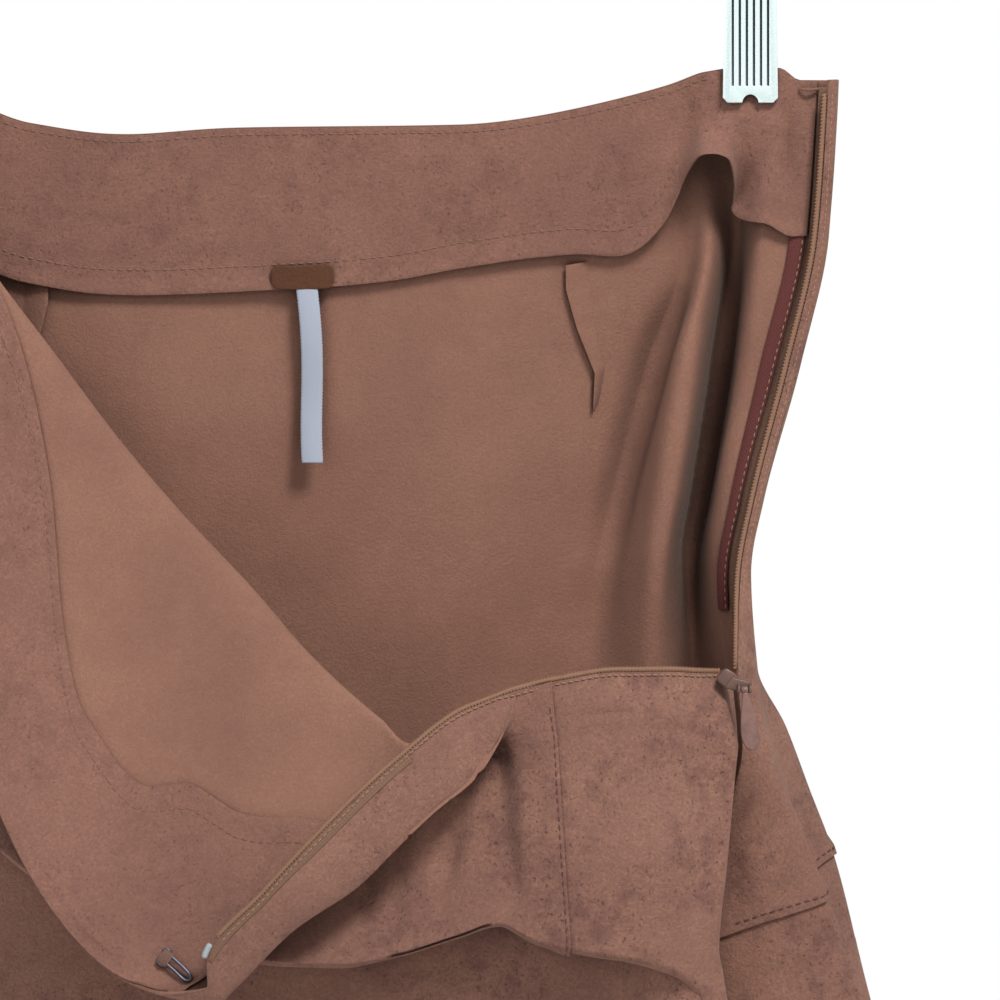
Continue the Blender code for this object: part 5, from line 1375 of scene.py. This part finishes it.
def make_clip(side, sign, front_y, steel, dark):
    """Two jaws on a sprung pin. The front one is grooved and notched, and the back one hooks on the bar."""
    centre, half = sign * CLIP_X, CLIP_WIDTH / 2
    bottom, top = CLIP_BOTTOM_Z, CLIP_TOP_Z
    outer_y = front_y - CLIP_PLATE
    low = [(half, bottom + CLIP_CORNER), (half - CLIP_CORNER, bottom)]
    outline = [(centre - x, z) for x, z in low] + [(centre + x, z) for x, z in low[::-1]]
    outline += [(centre + half - CLIP_TAPER, top), (centre - half + CLIP_TAPER, top)]
    plate = prism(f"clip_{side}_plate", outline, outer_y - 0.4, front_y, 1, steel)
    # The grooves' and notch's walls take the dark wire finish of their cutters: painted shade in them.
    plate.data.materials.append(dark)
    low, high = bottom + GROOVE_ENDS[0], top + GROOVE_ENDS[1]
    cutters = []
    for k in range(GROOVES):
        x = centre + (k - (GROOVES - 1) / 2) * GROOVE_PITCH
        left, right = x - GROOVE_HALF, x + GROOVE_HALF
        groove = [(left, low), (right, low), (right, high), (left, high)]
        cutters.append(prism(f"groove_{k}", groove, outer_y - 3, outer_y + 0.5, 1, dark))
    turns = np.linspace(0, math.pi, 14)
    width, height, start = NOTCH
    notch = [(centre + width * math.cos(t), bottom + start + height * math.sin(t)) for t in turns]
    cutters.append(prism("notch", notch, outer_y - 3, front_y + 3, 1, dark))
    cut(plate, cutters)
    pieces = [rounded(plate, 0.22, 30)]
    near_y, far_y = front_y - CLIP_PLATE / 2, front_y + SIDE_WALL_REACH
    edge = [(near_y, bottom + 16), (far_y, bottom + 22), (far_y, top - 4), (near_y, top - 1)]
    for x in (centre - half + SIDE_WALL_INSET, centre + half - SIDE_WALL_INSET):
        low, high = x - SIDE_WALL_HALF, x + SIDE_WALL_HALF
        pieces.append(prism(f"{side}_wall_{x:.0f}", edge, low, high, 0, steel, 0.25))
    dress(joined(f"clip_{side}_front_jaw", pieces), "clip_steel", f"clip_{side}_front")
    inner = WALL / 2 + SEAM_GAP * 3
    reach = BAR_RADIUS + STRAP_PLAY
    far = reach + CLIP_PLATE
    turns = np.radians(np.linspace(0, 180, 19))
    edge = [(inner, bottom + 1), (inner + CLIP_PLATE, bottom + 1), (far, bottom + 24)]
    edge += [(far * math.cos(t), BAR_Z + far * math.sin(t)) for t in turns]
    edge += [(-far, BAR_Z - 4), (-reach, BAR_Z - 4)]
    edge += [(reach * math.cos(t), BAR_Z + reach * math.sin(t)) for t in turns[::-1]]
    edge += [(reach, bottom + 25), (inner, bottom + 14)]
    strap = prism(f"{side}_strap", edge, centre - STRAP_HALF, centre + STRAP_HALF, 0, steel, 0.3)
    half -= CLIP_EDGE
    right = [(half, bottom), (half, bottom + 15), (STRAP_HALF, bottom + 22)]
    jaw = [(centre + x, z) for x, z in right] + [(centre - x, z) for x, z in right[::-1]]
    jaw = prism(f"{side}_back_plate", jaw, inner, inner + CLIP_PLATE, 1, steel, 0.3)
    dress(joined(f"clip_{side}_back_jaw", [strap, jaw]), "clip_steel", f"clip_{side}_back")
    pin_y, pin_z = (front_y + reach) / 2 + 0.1, top - CLIP_PIN_DROP
    pin = [(x, pin_y, pin_z) for x in np.linspace(centre - half, centre + half, 5)]
    turns = np.linspace(0, 2 * math.pi * 7, 140)
    coil = [(centre - 4.2 + 8.4 * t / turns[-1], pin_y + 1.75 * math.cos(t), pin_z + 1.75 * math.sin(t))
            for t in turns]
    pin = tube(f"{side}_pin", pin, (1.0, 1.0), 16, steel)
    coil = tube(f"{side}_coil", coil, (0.45, 0.45), 8, dark)
    dress(joined(f"clip_{side}_spring", [pin, coil]), "clip_steel", f"clip_{side}_pin")


# ---------------------------------------------------------------- light, floor and camera

CAMERA_PLACE = (0.0647, -2.0, -0.2867)
CAMERA_LENS = 216.0
FLOOR_Z = -0.62
FLOOR_SIZE = 1.5


def make_stage():
    """The pale floor."""
    half = FLOOR_SIZE / 2
    corners = [(x, y, FLOOR_Z) for x, y in ((-half, -half), (half, -half), (half, half), (-half, half))]
    mesh = bpy.data.meshes.new("floor")
    mesh.from_pydata(corners, [], [(0, 1, 2, 3)])
    mesh.materials.append(Finish("floor").shader({"Base Color": (0.82, 0.82, 0.82), "Roughness": 0.9}))
    floor = bpy.data.objects.new("floor", mesh)
    bpy.context.scene.collection.objects.link(floor)


def area_light(name, place, target, size, power, colour=(1, 1, 1)):
    data = bpy.data.lights.new(name, "AREA")
    data.size = size
    data.energy = power
    data.color = colour
    lamp = bpy.data.objects.new(name, data)
    lamp.location = place
    lamp.rotation_euler = (Vector(target) - Vector(place)).to_track_quat("-Z", "Y").to_euler()
    bpy.context.scene.collection.objects.link(lamp)


def make_light():
    world = bpy.data.worlds.new("studio")
    bpy.context.scene.world = world
    world.use_nodes = True
    nodes, links = world.node_tree.nodes, world.node_tree.links
    background = nodes["Background"]
    background.inputs["Color"].default_value = (1, 1, 1, 1)
    path = nodes.new("ShaderNodeLightPath")
    level = nodes.new("ShaderNodeMapRange")
    level.inputs["To Min"].default_value = 0.36
    level.inputs["To Max"].default_value = 1.0
    links.new(path.outputs["Is Camera Ray"], level.inputs["Value"])
    links.new(level.outputs["Result"], background.inputs["Strength"])
    area_light("key", (0.62, -1.05, 0.95), (0.03, 0, -0.30), 0.42, 27, (1.0, 0.985, 0.96))
    area_light("fill", (-0.9, -1.6, 0.1), (0, 0, -0.35), 1.2, 5, (0.97, 0.98, 1.0))
    area_light("behind", (-0.5, 1.5, 0.5), (0, 0, -0.35), 1.2, 20)


def make_camera():
    data = bpy.data.cameras.new("camera")
    data.lens = CAMERA_LENS
    data.sensor_width = 36.0
    data.clip_end = 20
    camera = bpy.data.objects.new("camera", data)
    camera.location = CAMERA_PLACE
    camera.rotation_euler = (math.radians(90), 0, 0)
    bpy.context.scene.collection.objects.link(camera)
    bpy.context.scene.camera = camera


# ---------------------------------------------------------------- the whole

Cut = namedtuple("Cut", "piece width length area")
CUTS = table(
    Cut,
    ("front_yoke_cloth", 0.400, 0.270, 0.072), ("front_tier_1_cloth", 0.420, 0.230, 0.034),
    ("front_tier_2_cloth", 0.430, 0.080, 0.029), ("front_facing_cloth", 0.290, 0.055, 0.0145),
    ("back_panel_cloth", 0.420, 0.260, 0.100), ("back_tier_cloth", 0.470, 0.125, 0.058),
    ("back_facing_cloth", 0.340, 0.054, 0.017),
)


def main():
    outer = suede("suede_face", (0.345, 0.180, 0.128), (0.165, 0.077, 0.066), 0.66, 0.85)
    facing = suede("suede_facing", (0.318, 0.161, 0.117), (0.172, 0.081, 0.068), 0.46, 0.6)
    # The reverse's painted shade reaches 36 mm into hollow places, and the faces' reaches 16 mm.
    inner = suede("suede_reverse", (0.326, 0.167, 0.118), (0.205, 0.098, 0.074), 0.20, 0.12, 36)
    thread = woven("thread", (0.26, 0.13, 0.09), (0.17, 0.085, 0.06), 0.5)
    thread_dark = woven("thread_dark", (0.12, 0.040, 0.032), (0.075, 0.026, 0.022), 0.5)
    thread_pale = woven("thread_pale", (0.38, 0.23, 0.15), (0.25, 0.14, 0.09), 0.5)
    tape = woven("zip_tape_weave", (0.21, 0.105, 0.062), (0.11, 0.055, 0.034), 0.8)
    coil = moulded("zip_coil_nylon", (0.24, 0.125, 0.075), 0.75)
    binding = woven("binding_weave", (0.125, 0.020, 0.016), (0.070, 0.012, 0.011), 0.7)
    rose = moulded("rose_paint", (0.25, 0.140, 0.118), 0.42, 0.1, 0.45)
    # The slider body's paint is the tab's rose, dimmed: painted shade on the slider.
    slider = moulded("rose_paint_painted_shade", (0.15, 0.082, 0.064), 0.42, 0.1, 0.45)
    label = suede("label_face", (0.135, 0.058, 0.032), (0.09, 0.038, 0.022), 0.4, 0.2)
    ribbon = woven("ribbon_weave", (0.43, 0.47, 0.56), (0.32, 0.36, 0.45), 0.35, 0.5)
    # The plating's pale cyan-white colour is partly its own tone and partly painted reflection, under a low
    # metallic share.
    steel = moulded("plated_steel_painted_reflection", (0.84, 1.0, 1.0), 0.26, 0.30, 0.04, 0.001)
    dark = moulded("dark_wire", (0.10, 0.10, 0.13), 0.35, 0.9, 0.3)
    stop = moulded("pale_stop", (0.36, 0.40, 0.41), 0.5)
    base = back_cloth()
    plain_back = Draped(base, BACK_CREASES, 1)
    back = Draped(base, BACK_CREASES, 1, HOLLOW_DEPTH)
    front = Draped(front_cloth(base), FRONT_CREASES, -1)
    make_back(back, outer, inner, thread_dark)
    make_back_facing(plain_back, facing, inner, thread)
    make_darts(back, inner, thread)
    make_zip_back(back, coil, tape, binding, thread_pale)
    make_front(front, outer, inner, thread_dark)
    make_front_facing(front, facing, inner, thread)
    make_zip_front(front, coil, tape, stop, thread_pale)
    make_labels(back, label, ribbon)
    make_fasteners(front, back, dark, thread)
    make_slider(slider, rose)
    make_hanger(steel, dark)
    for side, sign, front_y in CLIP_SIDES:
        make_clip(side, sign, front_y, steel, dark)
    make_stage()
    make_light()
    make_camera()
    bpy.context.scene.view_settings.view_transform = "Standard"


main()
